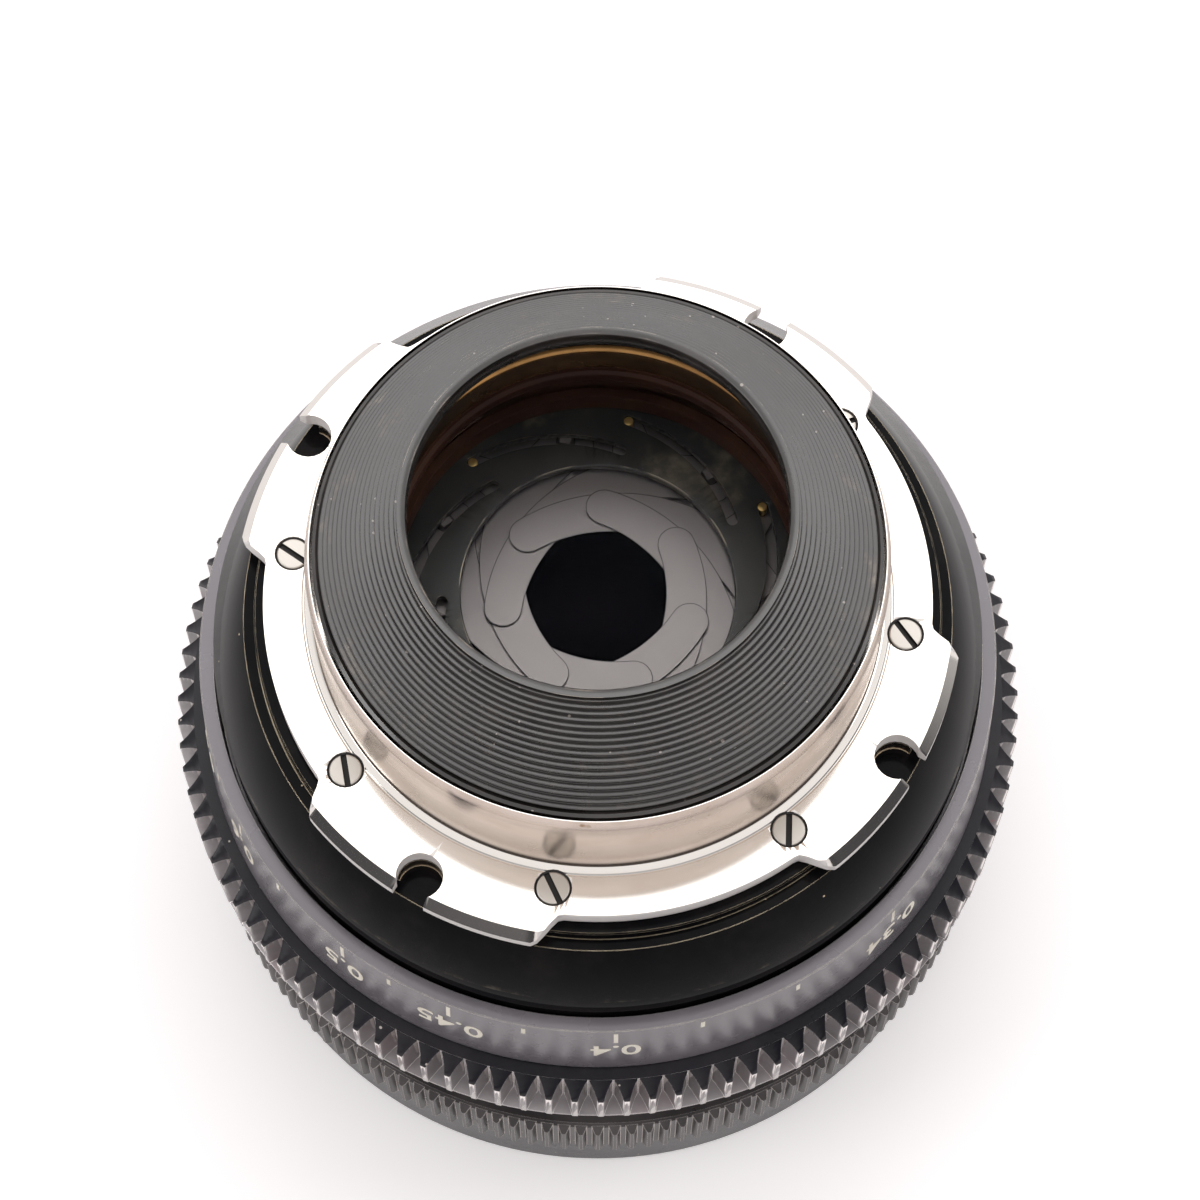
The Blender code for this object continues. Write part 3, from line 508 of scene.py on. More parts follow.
class Effects:
    """Builds each shared effect's node group on its first use."""

    @staticmethod
    def group(effect: Effect) -> bpy.types.NodeTree:
        """The effect's node group.

        Args:
            effect: Which effect.

        Returns:
            The group, built once.
        """
        found = bpy.data.node_groups.get(effect.value)
        if found:
            return found
        tree = bpy.data.node_groups.new(effect.value, "ShaderNodeTree")
        builders: dict[Effect, Callable[[Sheet], None]] = {
            Effect.TURNING: Effects._turning,
            Effect.WEAR: Effects._wear,
            Effect.DUST: Effects._dust,
            Effect.STAIN: Effects._stain,
        }
        builders[effect](Sheet(tree))
        return tree

    @staticmethod
    def _sockets(sheet: Sheet, inputs: dict[str, float], outputs: Iterable[str]) -> tuple:
        """Makes a group's named sockets.

        Args:
            sheet: The group's tree.
            inputs: Input names with their default values.
            outputs: Output names.

        Returns:
            The sockets inside the group: what it is given and what it returns.
        """
        face = sheet.tree.interface
        for name, value in inputs.items():
            socket = face.new_socket(name, in_out="INPUT", socket_type="NodeSocketFloat")
            socket.default_value = value
        for name in outputs:
            face.new_socket(name, in_out="OUTPUT", socket_type="NodeSocketFloat")
        entry = sheet.tree.nodes.new("NodeGroupInput")
        leave = sheet.tree.nodes.new("NodeGroupOutput")
        return entry.outputs, leave.inputs

    @staticmethod
    def _turning(sheet: Sheet) -> None:
        """Fine rings left by the lathe tool: they hardly change round the axis."""
        inputs = {"Lines": 9000.0, "Drift": 0.02}
        given, result = Effects._sockets(sheet, inputs, ("Height", "Bands"))
        split = sheet.node("SeparateXYZ")
        sheet.feed(split.inputs[0], sheet.place())
        x, y, z = split.outputs
        squares = [sheet.math("MULTIPLY", side, side) for side in (x, y)]
        radius = sheet.math("SQRT", sheet.math("ADD", *squares))
        drift = sheet.math("MULTIPLY", given["Lines"], given["Drift"])
        merged = sheet.node("CombineXYZ")
        sheet.feed(merged.inputs[0], sheet.math("MULTIPLY", radius, given["Lines"]))
        sheet.feed(merged.inputs[1], sheet.math("MULTIPLY", z, given["Lines"]))
        sheet.feed(merged.inputs[2], sheet.math("MULTIPLY", x, drift))
        sheet.feed(result["Height"], sheet.noise(merged.outputs[0], 1.0, 3.0, 0.6))
        sheet.feed(result["Bands"], sheet.noise(merged.outputs[0], 0.12, 2.0, 0.5))

    @staticmethod
    def _wear(sheet: Sheet) -> None:
        """Rubbed edges: where the rounded normal differs from the real one, broken up by noise."""
        inputs = {"Radius": 0.0003, "Amount": 0.5, "Breakup": 300.0}
        given, result = Effects._sockets(sheet, inputs, ("Mask",))
        rounded = sheet.node("Bevel", samples=6)
        sheet.feed(rounded.inputs["Radius"], given["Radius"])
        geometry = sheet.node("NewGeometry")
        dot = sheet.node("VectorMath", operation="DOT_PRODUCT")
        sheet.feed(dot.inputs[0], rounded.outputs[0])
        sheet.feed(dot.inputs[1], geometry.outputs["True Normal"])
        edge = sheet.math("SUBTRACT", 1.0, dot.outputs["Value"])
        patches = sheet.noise(sheet.place(), given["Breakup"], 4.0, 0.65)
        gate = sheet.math("SUBTRACT", 1.0, given["Amount"])
        level = sheet.math("SUBTRACT", sheet.math("MULTIPLY", patches, 1.6), gate)
        strong = sheet.ramp(edge, 0.02, 0.14)
        sheet.feed(result["Mask"], sheet.ramp(sheet.math("MULTIPLY", strong, level), 0.02, 0.16))

    @staticmethod
    def _dust(sheet: Sheet) -> None:
        """A faint uneven film and a few sharp specks."""
        given, result = Effects._sockets(sheet, {"Scale": 900.0, "Cover": 0.5}, ("Film", "Specks"))
        place = sheet.place()
        film = sheet.noise(place, 140.0, 5.0, 0.65)
        thick = sheet.ramp(film, 0.42, 0.75)
        sheet.feed(result["Film"], sheet.math("MULTIPLY", thick, given["Cover"]))
        cells = sheet.node("TexVoronoi", feature="F1")
        sheet.feed(cells.inputs["Vector"], place)
        sheet.feed(cells.inputs["Scale"], given["Scale"])
        few = sheet.node("SeparateColor")
        sheet.feed(few.inputs[0], cells.outputs["Color"])
        bare = sheet.math("SUBTRACT", 1.0, given["Cover"])
        chosen = sheet.math("GREATER_THAN", few.outputs[0], bare)
        size = sheet.math("MULTIPLY", few.outputs[1], 0.16)
        spot = sheet.math("LESS_THAN", cells.outputs["Distance"], size)
        sheet.feed(result["Specks"], sheet.math("MULTIPLY", spot, chosen))

    @staticmethod
    def _stain(sheet: Sheet) -> None:
        """Soft blotches of tarnish and a few small spots."""
        given, result = Effects._sockets(sheet, {"Scale": 120.0, "Cover": 0.3}, ("Blotch", "Spots"))
        place = sheet.place()
        cloud = sheet.noise(place, given["Scale"], 6.0, 0.6)
        soft = sheet.ramp(cloud, 0.5, 0.8)
        sheet.feed(result["Blotch"], sheet.math("MULTIPLY", soft, given["Cover"]))
        spots = sheet.noise(place, 420.0, 2.0, 0.5)
        here = sheet.ramp(cloud, 0.5, 0.62)
        sheet.feed(result["Spots"], sheet.math("MULTIPLY", sheet.ramp(spots, 0.7, 0.76), here))


@dataclass(frozen=True)
class Finish:
    """An opaque finish, drawn from its own colours and the shared effects.

    Attributes:
        name: The material's name.
        color: Base colour.
        other: A second colour that it drifts towards in soft patches.
        roughness: How matt it is.
        metallic: 1 for bare metal.
        coat: Clear layer over it.
        gloss: Strength of the plain reflection.
        marks: Height of the turning marks, in millimetres.
        lines: Turning marks per metre.
        banding: How strongly the marks show as bands of the band colour.
        band_color: The darker colour of the bands.
        grain: Height of the fine grain, in millimetres.
        grain_scale: Scale of the grain.
        worn: Colour that shows where edges are rubbed.
        wear: How much of the edges is rubbed, from 0 to 1.
        wear_radius: Reach of the wear from an edge, in millimetres.
        dust: How much dust lies on it, from 0 to 1.
        dust_color: The dust's colour.
        stain: How much it is stained.
        stain_color: The stain's colour.
        slot: The record's material slot; not used.
    """

    name: str
    color: tuple[float, float, float]
    other: tuple[float, float, float]
    roughness: float
    metallic: float = 0.0
    coat: float = 0.0
    gloss: float = 0.5
    marks: float = 0.0
    lines: float = 9000.0
    banding: float = 0.0
    band_color: tuple[float, float, float] = (0.5, 0.44, 0.38)
    grain: float = 0.0
    grain_scale: float = 4000.0
    worn: tuple[float, float, float] = (0.62, 0.58, 0.52)
    wear: float = 0.0
    wear_radius: float = 0.25
    dust: float = 0.0
    dust_color: tuple[float, float, float] = (0.55, 0.5, 0.46)
    stain: float = 0.0
    stain_color: tuple[float, float, float] = (0.28, 0.17, 0.07)
    slot: str = "satin_black"

    def material(self) -> bpy.types.Material:
        """The material, built on its first use."""
        return shaded(self.name, self._fill)

    def _fill(self, sheet: Sheet, shader: bpy.types.Node) -> None:
        """Draws the material.

        Args:
            sheet: Its tree.
            shader: Its main shader.
        """
        color, roughness, metallic = self._surface(sheet)
        sheet.feed(shader.inputs["Base Color"], color)
        sheet.feed(shader.inputs["Roughness"], roughness)
        sheet.feed(shader.inputs["Metallic"], metallic)
        shader.inputs["Specular IOR Level"].default_value = self.gloss
        shader.inputs["Coat Weight"].default_value = self.coat
        shader.inputs["Coat Roughness"].default_value = 0.06
        height = self._height(sheet)
        if height:
            bump = sheet.node("Bump")
            bump.inputs["Strength"].default_value = 1.0
            bump.inputs["Distance"].default_value = MM
            sheet.feed(bump.inputs["Height"], height)
            sheet.feed(shader.inputs["Normal"], bump.outputs[0])

    def _effect(self, sheet: Sheet, effect: Effect, **values: float) -> bpy.types.NodeOutputs:
        """Places a shared effect.

        Args:
            sheet: The material's tree.
            effect: Which effect.
            **values: The group's inputs.

        Returns:
            The group's outputs.
        """
        node = sheet.node("Group", node_tree=Effects.group(effect))
        for name, value in values.items():
            node.inputs[name].default_value = value
        return node.outputs

    def _surface(self, sheet: Sheet) -> tuple[Socket, Socket, Socket | float]:
        """Draws colour, roughness and metallic value.

        Args:
            sheet: The material's tree.

        Returns:
            The three, each a socket or a plain value.
        """
        cloud = sheet.noise(sheet.place(), 90.0, 4.0, 0.6)
        color = sheet.mix(sheet.ramp(cloud, 0.35, 0.65), self.color, self.other)
        roughness = sheet.ramp(cloud, 0.25, 0.75, self.roughness * 0.8, self.roughness * 1.25)
        metallic: Socket | float = self.metallic
        if self.marks:
            bands = self._effect(sheet, Effect.TURNING, Lines=self.lines)["Bands"]
            banded = sheet.ramp(bands, 0.35, 0.65, 0.0, self.banding)
            color = sheet.mix(banded, color, self.band_color)
            rougher = sheet.ramp(bands, 0.35, 0.65, 0.0, 0.08 * self.banding)
            roughness = sheet.math("ADD", roughness, rougher)
        if self.stain:
            stain = self._effect(sheet, Effect.STAIN, Cover=self.stain)
            color = sheet.mix(stain["Blotch"], color, self.stain_color)
            color = sheet.mix(stain["Spots"], color, self.stain_color)
            roughness = sheet.math("ADD", roughness, sheet.math("MULTIPLY", stain["Blotch"], 0.25))
        if self.wear:
            values = {"Radius": self.wear_radius * MM, "Amount": self.wear}
            mask = self._effect(sheet, Effect.WEAR, **values)["Mask"]
            color = sheet.mix(mask, color, self.worn)
            change = sheet.math("MULTIPLY", mask, 0.3 - self.roughness)
            roughness = sheet.math("ADD", roughness, change)
            metallic = sheet.math("MAXIMUM", metallic, mask)
        if self.dust:
            dust = self._effect(sheet, Effect.DUST, Cover=self.dust)
            lying = sheet.math("MULTIPLY", dust["Film"], 0.25)
            color = sheet.mix(lying, color, self.dust_color)
            color = sheet.mix(dust["Specks"], color, self.dust_color)
            metallic = sheet.math("MULTIPLY", metallic, sheet.math("SUBTRACT", 1.0, dust["Specks"]))
            roughness = sheet.math("ADD", roughness, sheet.math("MULTIPLY", dust["Film"], 0.2))
        return color, roughness, metallic

    def _height(self, sheet: Sheet) -> Socket | None:
        """Draws the turning marks and the grain, as a height in millimetres.

        Args:
            sheet: The material's tree.

        Returns:
            The height, or None where the finish is smooth.
        """
        heights = []
        if self.marks:
            turning = self._effect(sheet, Effect.TURNING, Lines=self.lines)
            heights.append(sheet.math("MULTIPLY", turning["Height"], self.marks))
            heights.append(sheet.math("MULTIPLY", turning["Bands"], self.marks * 2))
        if self.grain:
            grain = sheet.noise(sheet.place(), self.grain_scale, 4.0, 0.6)
            heights.append(sheet.math("MULTIPLY", grain, self.grain))
        return reduce(partial(sheet.math, "ADD"), heights) if heights else None


@dataclass(frozen=True)
class Glass:
    """Coated optical glass that lets light through to what is behind it.

    Attributes:
        name: The material's name.
        tint: Colour of what passes through.
        sheen_tint: Colour of its reflections.
        index: How strongly it bends light.
        slot: The record's material slot; not used.
    """

    name: str
    tint: tuple[float, float, float] = (0.97, 0.98, 0.97)
    sheen_tint: tuple[float, float, float] = (0.8, 0.75, 1.0)
    index: float = 1.06
    slot: str = "glass"

    def material(self) -> bpy.types.Material:
        """The material, built on its first use."""
        return shaded(self.name, self._fill)

    def _fill(self, sheet: Sheet, shader: bpy.types.Node) -> None:
        """Draws the material.

        Args:
            sheet: Its tree.
            shader: Its main shader.
        """
        shader.inputs["Base Color"].default_value = (*self.tint, 1)
        shader.inputs["Specular Tint"].default_value = (*self.sheen_tint, 1)
        shader.inputs["Specular IOR Level"].default_value = 0.5
        shader.inputs["Transmission Weight"].default_value = 1.0
        shader.inputs["IOR"].default_value = self.index
        smear = sheet.noise(sheet.place(), 160.0, 4.0, 0.6)
        sheet.feed(shader.inputs["Roughness"], sheet.ramp(smear, 0.5, 0.8, 0.0, 0.03))
        clear = sheet.node("BsdfTransparent")
        clear.inputs[0].default_value = (*self.tint, 1)
        path = sheet.node("LightPath")
        blend = sheet.node("MixShader")
        sheet.feed(blend.inputs[0], path.outputs["Is Shadow Ray"])
        sheet.feed(blend.inputs[1], shader.outputs[0])
        sheet.feed(blend.inputs[2], clear.outputs[0])
        sheet.feed(sheet.tree.nodes["Material Output"].inputs[0], blend.outputs[0])


NICKEL = Finish(
    "bright_nickel", (0.84, 0.77, 0.7), (0.78, 0.69, 0.61), 0.25, metallic=1.0, marks=0.006,
    lines=3200, banding=0.45, stain=0.35, dust=0.12, dust_color=(0.3, 0.22, 0.14),
    slot="bright_nickel",
)
# Lighter non-metal copy of the nickel for the tabs' upright sides: painted light.
PAINTED_LIGHT_NICKEL = Finish(
    "painted_light_nickel", (0.95, 0.92, 0.9), (0.84, 0.81, 0.79), 0.4, gloss=1.0, marks=0.01,
    lines=6000, banding=0.3, band_color=(0.6, 0.57, 0.55), slot="bright_nickel",
)
# Darker copy of the nickel for upright walls, the tube's and the housing keyholes': painted shade.
PAINTED_SHADE_NICKEL = Finish(
    "painted_shade_nickel", (0.74, 0.63, 0.56), (0.64, 0.53, 0.46), 0.22, metallic=1.0, marks=0.006,
    lines=3200, banding=0.4, stain=0.3, slot="bright_nickel",
)
STEEL = Finish(
    "screw_steel", (0.5, 0.46, 0.4), (0.34, 0.31, 0.27), 0.28, metallic=1.0, grain=0.01,
    stain=0.3, slot="screw_steel",
)
ENAMEL = Finish(
    "black_enamel", (0.003, 0.003, 0.004), (0.005, 0.005, 0.006), 0.09, gloss=0.045,
    grain=0.003, grain_scale=500, worn=(0.72, 0.62, 0.45), wear=0.62, wear_radius=0.16,
    dust=0.05, dust_color=(0.6, 0.5, 0.36), slot="gloss_black",
)
ANODISED = Finish(
    "black_anodised", (0.022, 0.02, 0.026), (0.034, 0.031, 0.038), 0.24, gloss=1.0, grain=0.006,
    worn=(0.72, 0.66, 0.56), wear=0.72, wear_radius=0.16, dust=0.12, slot="satin_black",
)
BAND_GREY = Finish(
    "band_grey", (0.17, 0.157, 0.175), (0.21, 0.195, 0.215), 0.26, metallic=0.22, gloss=0.8,
    grain=0.006, worn=(0.8, 0.75, 0.66), wear=0.8, wear_radius=0.16, dust=0.06,
    slot="satin_black",
)
GEAR_BLACK = Finish(
    "gear_black", (0.008, 0.008, 0.012), (0.014, 0.013, 0.018), 0.3, gloss=0.3, grain=0.01,
    dust=0.12, slot="satin_black",
)
GEAR_WORN = Finish(
    "gear_worn", (0.44, 0.41, 0.42), (0.28, 0.26, 0.265), 0.34, metallic=0.45, marks=0.006,
    lines=5000, worn=(0.95, 0.91, 0.89), wear=0.7, wear_radius=0.12, stain=0.12,
    stain_color=(0.6, 0.12, 0.13), slot="satin_black",
)
FLUTED_GREY = Finish(
    "fluted_grey", (0.08, 0.072, 0.074), (0.13, 0.118, 0.118), 0.32, metallic=0.5, grain=0.01,
    worn=(0.75, 0.7, 0.67), wear=0.8, wear_radius=0.14, dust=0.2, slot="satin_black",
)
BAFFLE_BLACK = Finish(
    "baffle_black", (0.012, 0.01, 0.009), (0.022, 0.019, 0.018), 0.27, grain=0.01, gloss=1.0,
    coat=0.25, worn=(0.3, 0.26, 0.22), wear=0.25, wear_radius=0.06, dust=0.3,
    dust_color=(0.34, 0.3, 0.27), slot="matt_black",
)
BARREL_BLACK = Finish(
    "barrel_black", (0.006, 0.006, 0.009), (0.01, 0.01, 0.013), 0.3, gloss=0.3, grain=0.004,
    dust=0.15, slot="satin_black",
)
INNER_BLACK = Finish(
    "inner_black", (0.012, 0.01, 0.01), (0.02, 0.017, 0.016), 0.5, grain=0.01, dust=0.1,
    slot="matt_black",
)
BROWN_BLACK = Finish(
    "brown_black", (0.035, 0.014, 0.01), (0.06, 0.026, 0.016), 0.48, gloss=0.12, marks=0.004,
    slot="matt_black",
)
CAM_BLACK = Finish(
    "cam_black", (0.02, 0.0195, 0.0205), (0.033, 0.031, 0.03), 0.36, metallic=0.2, grain=0.006,
    worn=(0.36, 0.31, 0.24), wear=0.25, wear_radius=0.08, stain=0.7,
    stain_color=(0.3, 0.25, 0.18), slot="blade_grey",
)
BLADE = Finish(
    "blade_grey", (0.066, 0.055, 0.061), (0.078, 0.066, 0.072), 0.45, metallic=0.2, grain=0.04,
    grain_scale=5000, dust=0.08, slot="blade_grey",
)
# Near-black band round each blade's top face: painted shade along the blade's edge.
BLADE_EDGE_SHADE = Finish(
    "blade_edge_shade", (0.012, 0.011, 0.012), (0.016, 0.015, 0.015), 0.5, slot="blade_grey",
)
BRASS = Finish(
    "brass", (0.72, 0.47, 0.2), (0.55, 0.33, 0.12), 0.26, metallic=1.0, marks=0.004, stain=0.2,
    slot="brass",
)
AGED_BRASS = Finish(
    "aged_brass", (0.07, 0.045, 0.025), (0.035, 0.024, 0.016), 0.45, metallic=0.8, marks=0.004,
    slot="brass",
)
GOLD = Finish(
    "dark_gold", (0.6, 0.33, 0.12), (0.3, 0.16, 0.06), 0.24, metallic=1.0, marks=0.006,
    lines=3000, banding=0.8, band_color=(0.06, 0.03, 0.015), slot="brass",
)
CREAM_PAINT = Finish(
    "cream_paint", (0.95, 0.9, 0.78), (0.8, 0.75, 0.64), 0.5, grain=0.006, slot="satin_black",
)
CLEAR_GLASS = Glass("coated_glass")
# Dark-tinted glass for the inner lenses: painted shade for the unlit inside of the lens.
SHADE_GLASS = Glass("shade_tinted_glass", tint=(0.2, 0.21, 0.25))

AnyFinish = Finish | Glass


@dataclass
class Assembly:
    """A group of pieces on one body.

    Attributes:
        body: The CAD body that the pieces ride on.
    """

    frame: dict
    body: str

    def place(self, piece: Piece, finish: AnyFinish, *nodes: str) -> Piece:
        """Dresses a piece, lets it ride on the body and hides the CAD nodes that it stands for.

        Args:
            piece: The piece, in place.
            finish: Its finish.
            *nodes: CAD nodes that it replaces.

        Returns:
            The piece.
        """
        if not piece.data.materials:
            piece.data.materials.append(finish.material())
        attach(piece, self.body)
        if nodes:
            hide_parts(*nodes)
        log.info("%s rides on %s, %d faces", piece.name, self.body, len(piece.data.polygons))
        return piece

    def dress(self, finish: AnyFinish, *nodes: str) -> None:
        """Gives CAD nodes that stay a better material.

        Args:
            finish: The finish.
            *nodes: Their names.
        """
        for name in nodes:
            node = self.frame["nodes"][name]
            node.data.materials.clear()
            node.data.materials.append(finish.material())
            log.info("%s stays, in %s", name, finish.name)


@dataclass
class Mount(Assembly):
    """The bright four-tab mount and its screws."""

    tube_r: float = 27.0
    rim_wall: float = 0.5
    rim_flat: float = 0.1
    lead_h: float = 1.3
    flange_t: float = 2.0
    flange_r: float = 31.73
    tab_r: float = 34.6
    tab_chamfer: float = 0.9
    tab_half_deg: float = 20.0
    tab_blend_deg: float = 4.5
    bore_r: float = 25.0
    counterbore_h: float = 7.25
    groove_r: float = 28.1
    groove_w: float = 0.35
    groove_d: float = 0.12
    fillet: float = 0.4
    keyhole_deg: float = 59.6
    keyhole_r: float = 2.2
    keyhole_inset: float = 2.25
    slot_w: float = 3.3
    screw_r: float = 1.56
    screw_gap: float = 0.2
    # Depth below the face where the painted-shade ring in each screw well starts.
    shade_drop: float = 0.3
    screw_h: float = 1.1
    slot_cut: tuple[float, float] = (0.56, 1.1)
    slot_deg: tuple[float, ...] = (-35, -80, -65, 88, -55, 20, 75, -10)
    edge_round: float = 0.07

    def build(self) -> None:
        """Builds the mount and its screws."""
        span = Span.of("mount_flange")
        top = span.low + self.flange_t
        piece = Bench.turned("mount", self._profile(span, top), 2 * FINE_SIDES)
        self._shape_tabs(piece, top)
        centers = [self._screw_center(index) for index in range(len(self.slot_deg))]
        above = span.high + 1
        turns = [self.keyhole_deg + 90 * quarter for quarter in range(4)]
        middle_r = self.tab_r - self.keyhole_inset
        middles = [polar(middle_r, turn) for turn in turns]
        holes = [Bench.pin("hole", middle, self.keyhole_r, 0, above) for middle in middles]
        Bench.cut(piece, Bench.joined("holes", holes))
        size = Vector((2 * self.keyhole_inset, self.slot_w, 2 * above))
        ends = [polar(self.tab_r, turn).to_3d() for turn in turns]
        mouths = [Bench.block("mouth", end, size, turn) for end, turn in zip(ends, turns)]
        Bench.cut(piece, Bench.joined("mouths", mouths))
        floor = top - self.screw_h
        well_r = self.screw_r + self.screw_gap
        wells = [Bench.pin("well", center, well_r, floor, above) for center in centers]
        Bench.cut(piece, Bench.joined("wells", wells))
        Bench.soften(piece, self.edge_round)
        # Level faces take the nickel, the tabs' sides a lighter copy as painted light and the tube's sides
        # a darker copy as painted shade.
        Bench.paint(piece, (NICKEL, PAINTED_LIGHT_NICKEL, PAINTED_SHADE_NICKEL), self._wall)
        self.place(piece, NICKEL, "mount_flange")
        for index, center in enumerate(centers):
            self._screw(index, center, top)

    def _wall(self, face: Face) -> int:
        """Which of the mount's finishes a face has.

        Args:
            face: The face.

        Returns:
            0 for a level face, 1 for the tabs' sides, painted lighter than the face as painted light, and 2
            for the tube, painted darker as painted shade.
        """
        if abs(face.normal.z) >= UPRIGHT:
            return 0
        return 1 if face.center.xy.length > self.groove_r * MM else 2

    def _profile(self, span: Span, top: float) -> Profile:
        """The mount's outline through a tab.

        Args:
            span: The CAD node's room.
            top: Height of the flange's face.

        Returns:
            Radius and height of each corner.
        """
        rim = self.tube_r - self.rim_wall
        groove_in = self.groove_r - self.groove_w
        return [
            (self.bore_r, span.low),
            (self.tab_r, span.low),
            (self.tab_r, top - self.tab_chamfer),
            (self.tab_r - self.tab_chamfer, top),
            (self.groove_r, top),
            (self.groove_r - self.groove_d, top - self.groove_d),
            (groove_in + self.groove_d, top - self.groove_d),
            (groove_in, top),
            (self.tube_r + self.fillet, top),
            (self.tube_r + self.fillet * 0.3, top + self.fillet * 0.3),
            (self.tube_r, top + self.fillet),
            (self.tube_r, span.high - self.lead_h),
            (rim + self.rim_flat, span.high),
            (rim, span.high),
            (rim, span.high - self.counterbore_h),
            (self.bore_r, span.high - self.counterbore_h),
        ]

    def _reach(self, degrees: float) -> float:
        """The flange's outer radius at an angle."""
        from_tab = abs((degrees - self.keyhole_deg + 45) % 90 - 45)
        share = min(max((from_tab - self.tab_half_deg) / self.tab_blend_deg, 0), 1)
        return self.tab_r - (self.tab_r - self.flange_r) * share * share * (3 - 2 * share)

    def _shape_tabs(self, piece: Piece, top: float) -> None:
        """Draws the flange in between the tabs.

        Args:
            piece: The turned mount, a full tab all round.
            top: Height of the flange's face.
        """
        for vertex in piece.data.vertices:
            radius = vertex.co.xy.length / MM
            if radius < self.flange_r:
                continue
            reach = self._reach(math.degrees(math.atan2(vertex.co.y, vertex.co.x)))
            on_top = vertex.co.z > (top - self.tab_chamfer / 2) * MM
            limit = radius if on_top else self.tab_r
            vertex.co.xy *= min(reach, limit) / radius

    def _screw_center(self, index: int) -> Vector:
        """The middle of a screw in the plane, from its CAD node."""
        lowest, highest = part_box(f"mount_screw_{index + 1}")
        return ((lowest + highest) / 2).xy / MM

    def _screw(self, index: int, center: Vector, top: float) -> None:
        """Builds one slotted screw.

        Args:
            index: Its place round the flange, from 0.
            center: Its middle in the plane.
            top: Height of the flange's face.
        """
        head = Bench.turned(
            f"screw_{index + 1}",
            [
                (self.screw_r - 0.18, top - 0.02),
                (self.screw_r - 0.05, top - 0.1),
                (self.screw_r, top - 0.22),
                (self.screw_r, top - self.screw_h + 0.05),
            ],
            PIN_SIDES * 2,
            capped=True,
        )
        head.data.transform(Matrix.Translation((center.x * MM, center.y * MM, 0)))
        size = Vector((3 * self.screw_r, *self.slot_cut))
        slot = Bench.block("slot", Vector((*center, top)), size, self.slot_deg[index])
        Bench.cut(head, slot)
        Bench.soften(head, 0.03)

        def in_slot(face: Face) -> bool:
            """Whether a face lies in the slot, which is painted black as painted shade."""
            within = (face.center.xy - center * MM).length < (self.screw_r - 0.15) * MM
            return within and face.center.z < (top - 0.2) * MM

        # The slot's faces take the black finish: painted shade in the recess.
        Bench.paint(head, (STEEL, INNER_BLACK), in_slot)
        self.place(head, STEEL, f"mount_screw_{index + 1}")
        # A black ring in the gap round each head: painted shade in the screw well.
        well_shade = Bench.turned(
            f"screw_well_shade_{index + 1}",
            [
                (self.screw_r + 0.02, top - self.shade_drop),
                (self.screw_r + self.screw_gap, top - self.shade_drop + 0.1),
                (self.screw_r + self.screw_gap, top - self.screw_h + 0.05),
                (self.screw_r + 0.02, top - self.screw_h + 0.05),
            ],
            PIN_SIDES * 2,
        )
        well_shade.data.transform(Matrix.Translation((center.x * MM, center.y * MM, 0)))
        Bench.soften(well_shade, 0)
        self.place(well_shade, INNER_BLACK)


@dataclass
class Housing(Assembly):
    """The fixed body: the step ring, the glossy cone and its skirt."""

    bore_r: float = 25.3
    step_r: float = 32.85
    step_h: float = 1.5
    step_edge: float = 0.15
    cone_top_r: float = 33.05
    cone_h: float = 7.06
    sleeve_inset: float = 4.4
    sleeve_w: float = 1.6
    sleeve_top: float = 53.4
    skirt_h: float = 6.64
    edge_round: float = 0.12
    keyhole_deg: float = 59.6
    keyhole_ring_r: float = 32.35
    keyhole_r: float = 2.2
    keyhole_reach: float = 0.1

    def build(self) -> None:
        """Builds the housing."""
        span = Span.of("rear_housing")
        cone_foot = span.high - self.cone_h
        slope = (span.radius - self.cone_top_r) / self.cone_h
        step_foot = span.high - self.step_h
        sleeve_r = span.radius - self.sleeve_inset
        piece = Bench.turned(
            "housing",
            [
                (self.bore_r, span.high),
                (self.step_r - self.step_edge, span.high),
                (self.step_r, span.high - self.step_edge),
                (self.step_r, step_foot),
                (self.cone_top_r + self.step_h * slope, step_foot),
                (span.radius, cone_foot),
                (span.radius, cone_foot - self.skirt_h),
                (sleeve_r, cone_foot - self.skirt_h),
                (sleeve_r, span.low),
                (sleeve_r - self.sleeve_w, span.low),
                (sleeve_r - self.sleeve_w, self.sleeve_top),
                (self.bore_r, self.sleeve_top),
            ],
        )
        turns = [self.keyhole_deg + 90 * quarter for quarter in range(4)]
        centers = [polar(self.keyhole_ring_r, turn) for turn in turns]
        above = span.high + 1
        wells = [Bench.pin("well", center, self.keyhole_r, step_foot, above) for center in centers]
        Bench.cut(piece, Bench.joined("wells", wells))
        Bench.soften(piece, self.edge_round)

        def bored(face: Face) -> bool:
            """Whether a face is the bright wall of a keyhole."""
            nearest = min((face.center.xy - center * MM).length for center in centers)
            inside = nearest < (self.keyhole_r + self.keyhole_reach) * MM
            high = face.center.z > (step_foot - self.keyhole_reach) * MM
            return inside and high and abs(face.normal.z) < UPRIGHT

        # The keyholes' upright walls take the darker nickel copy, whose darkness is painted shade.
        Bench.paint(piece, (ENAMEL, PAINTED_SHADE_NICKEL), bored)
        self.place(piece, ENAMEL, "rear_housing")
        self.dress(BRASS, *(f"guide_key_{number}" for number in (1, 2, 3)))
        self.dress(STEEL, "focus_stop_pin")
        self.dress(ANODISED, "focus_retaining_ring")


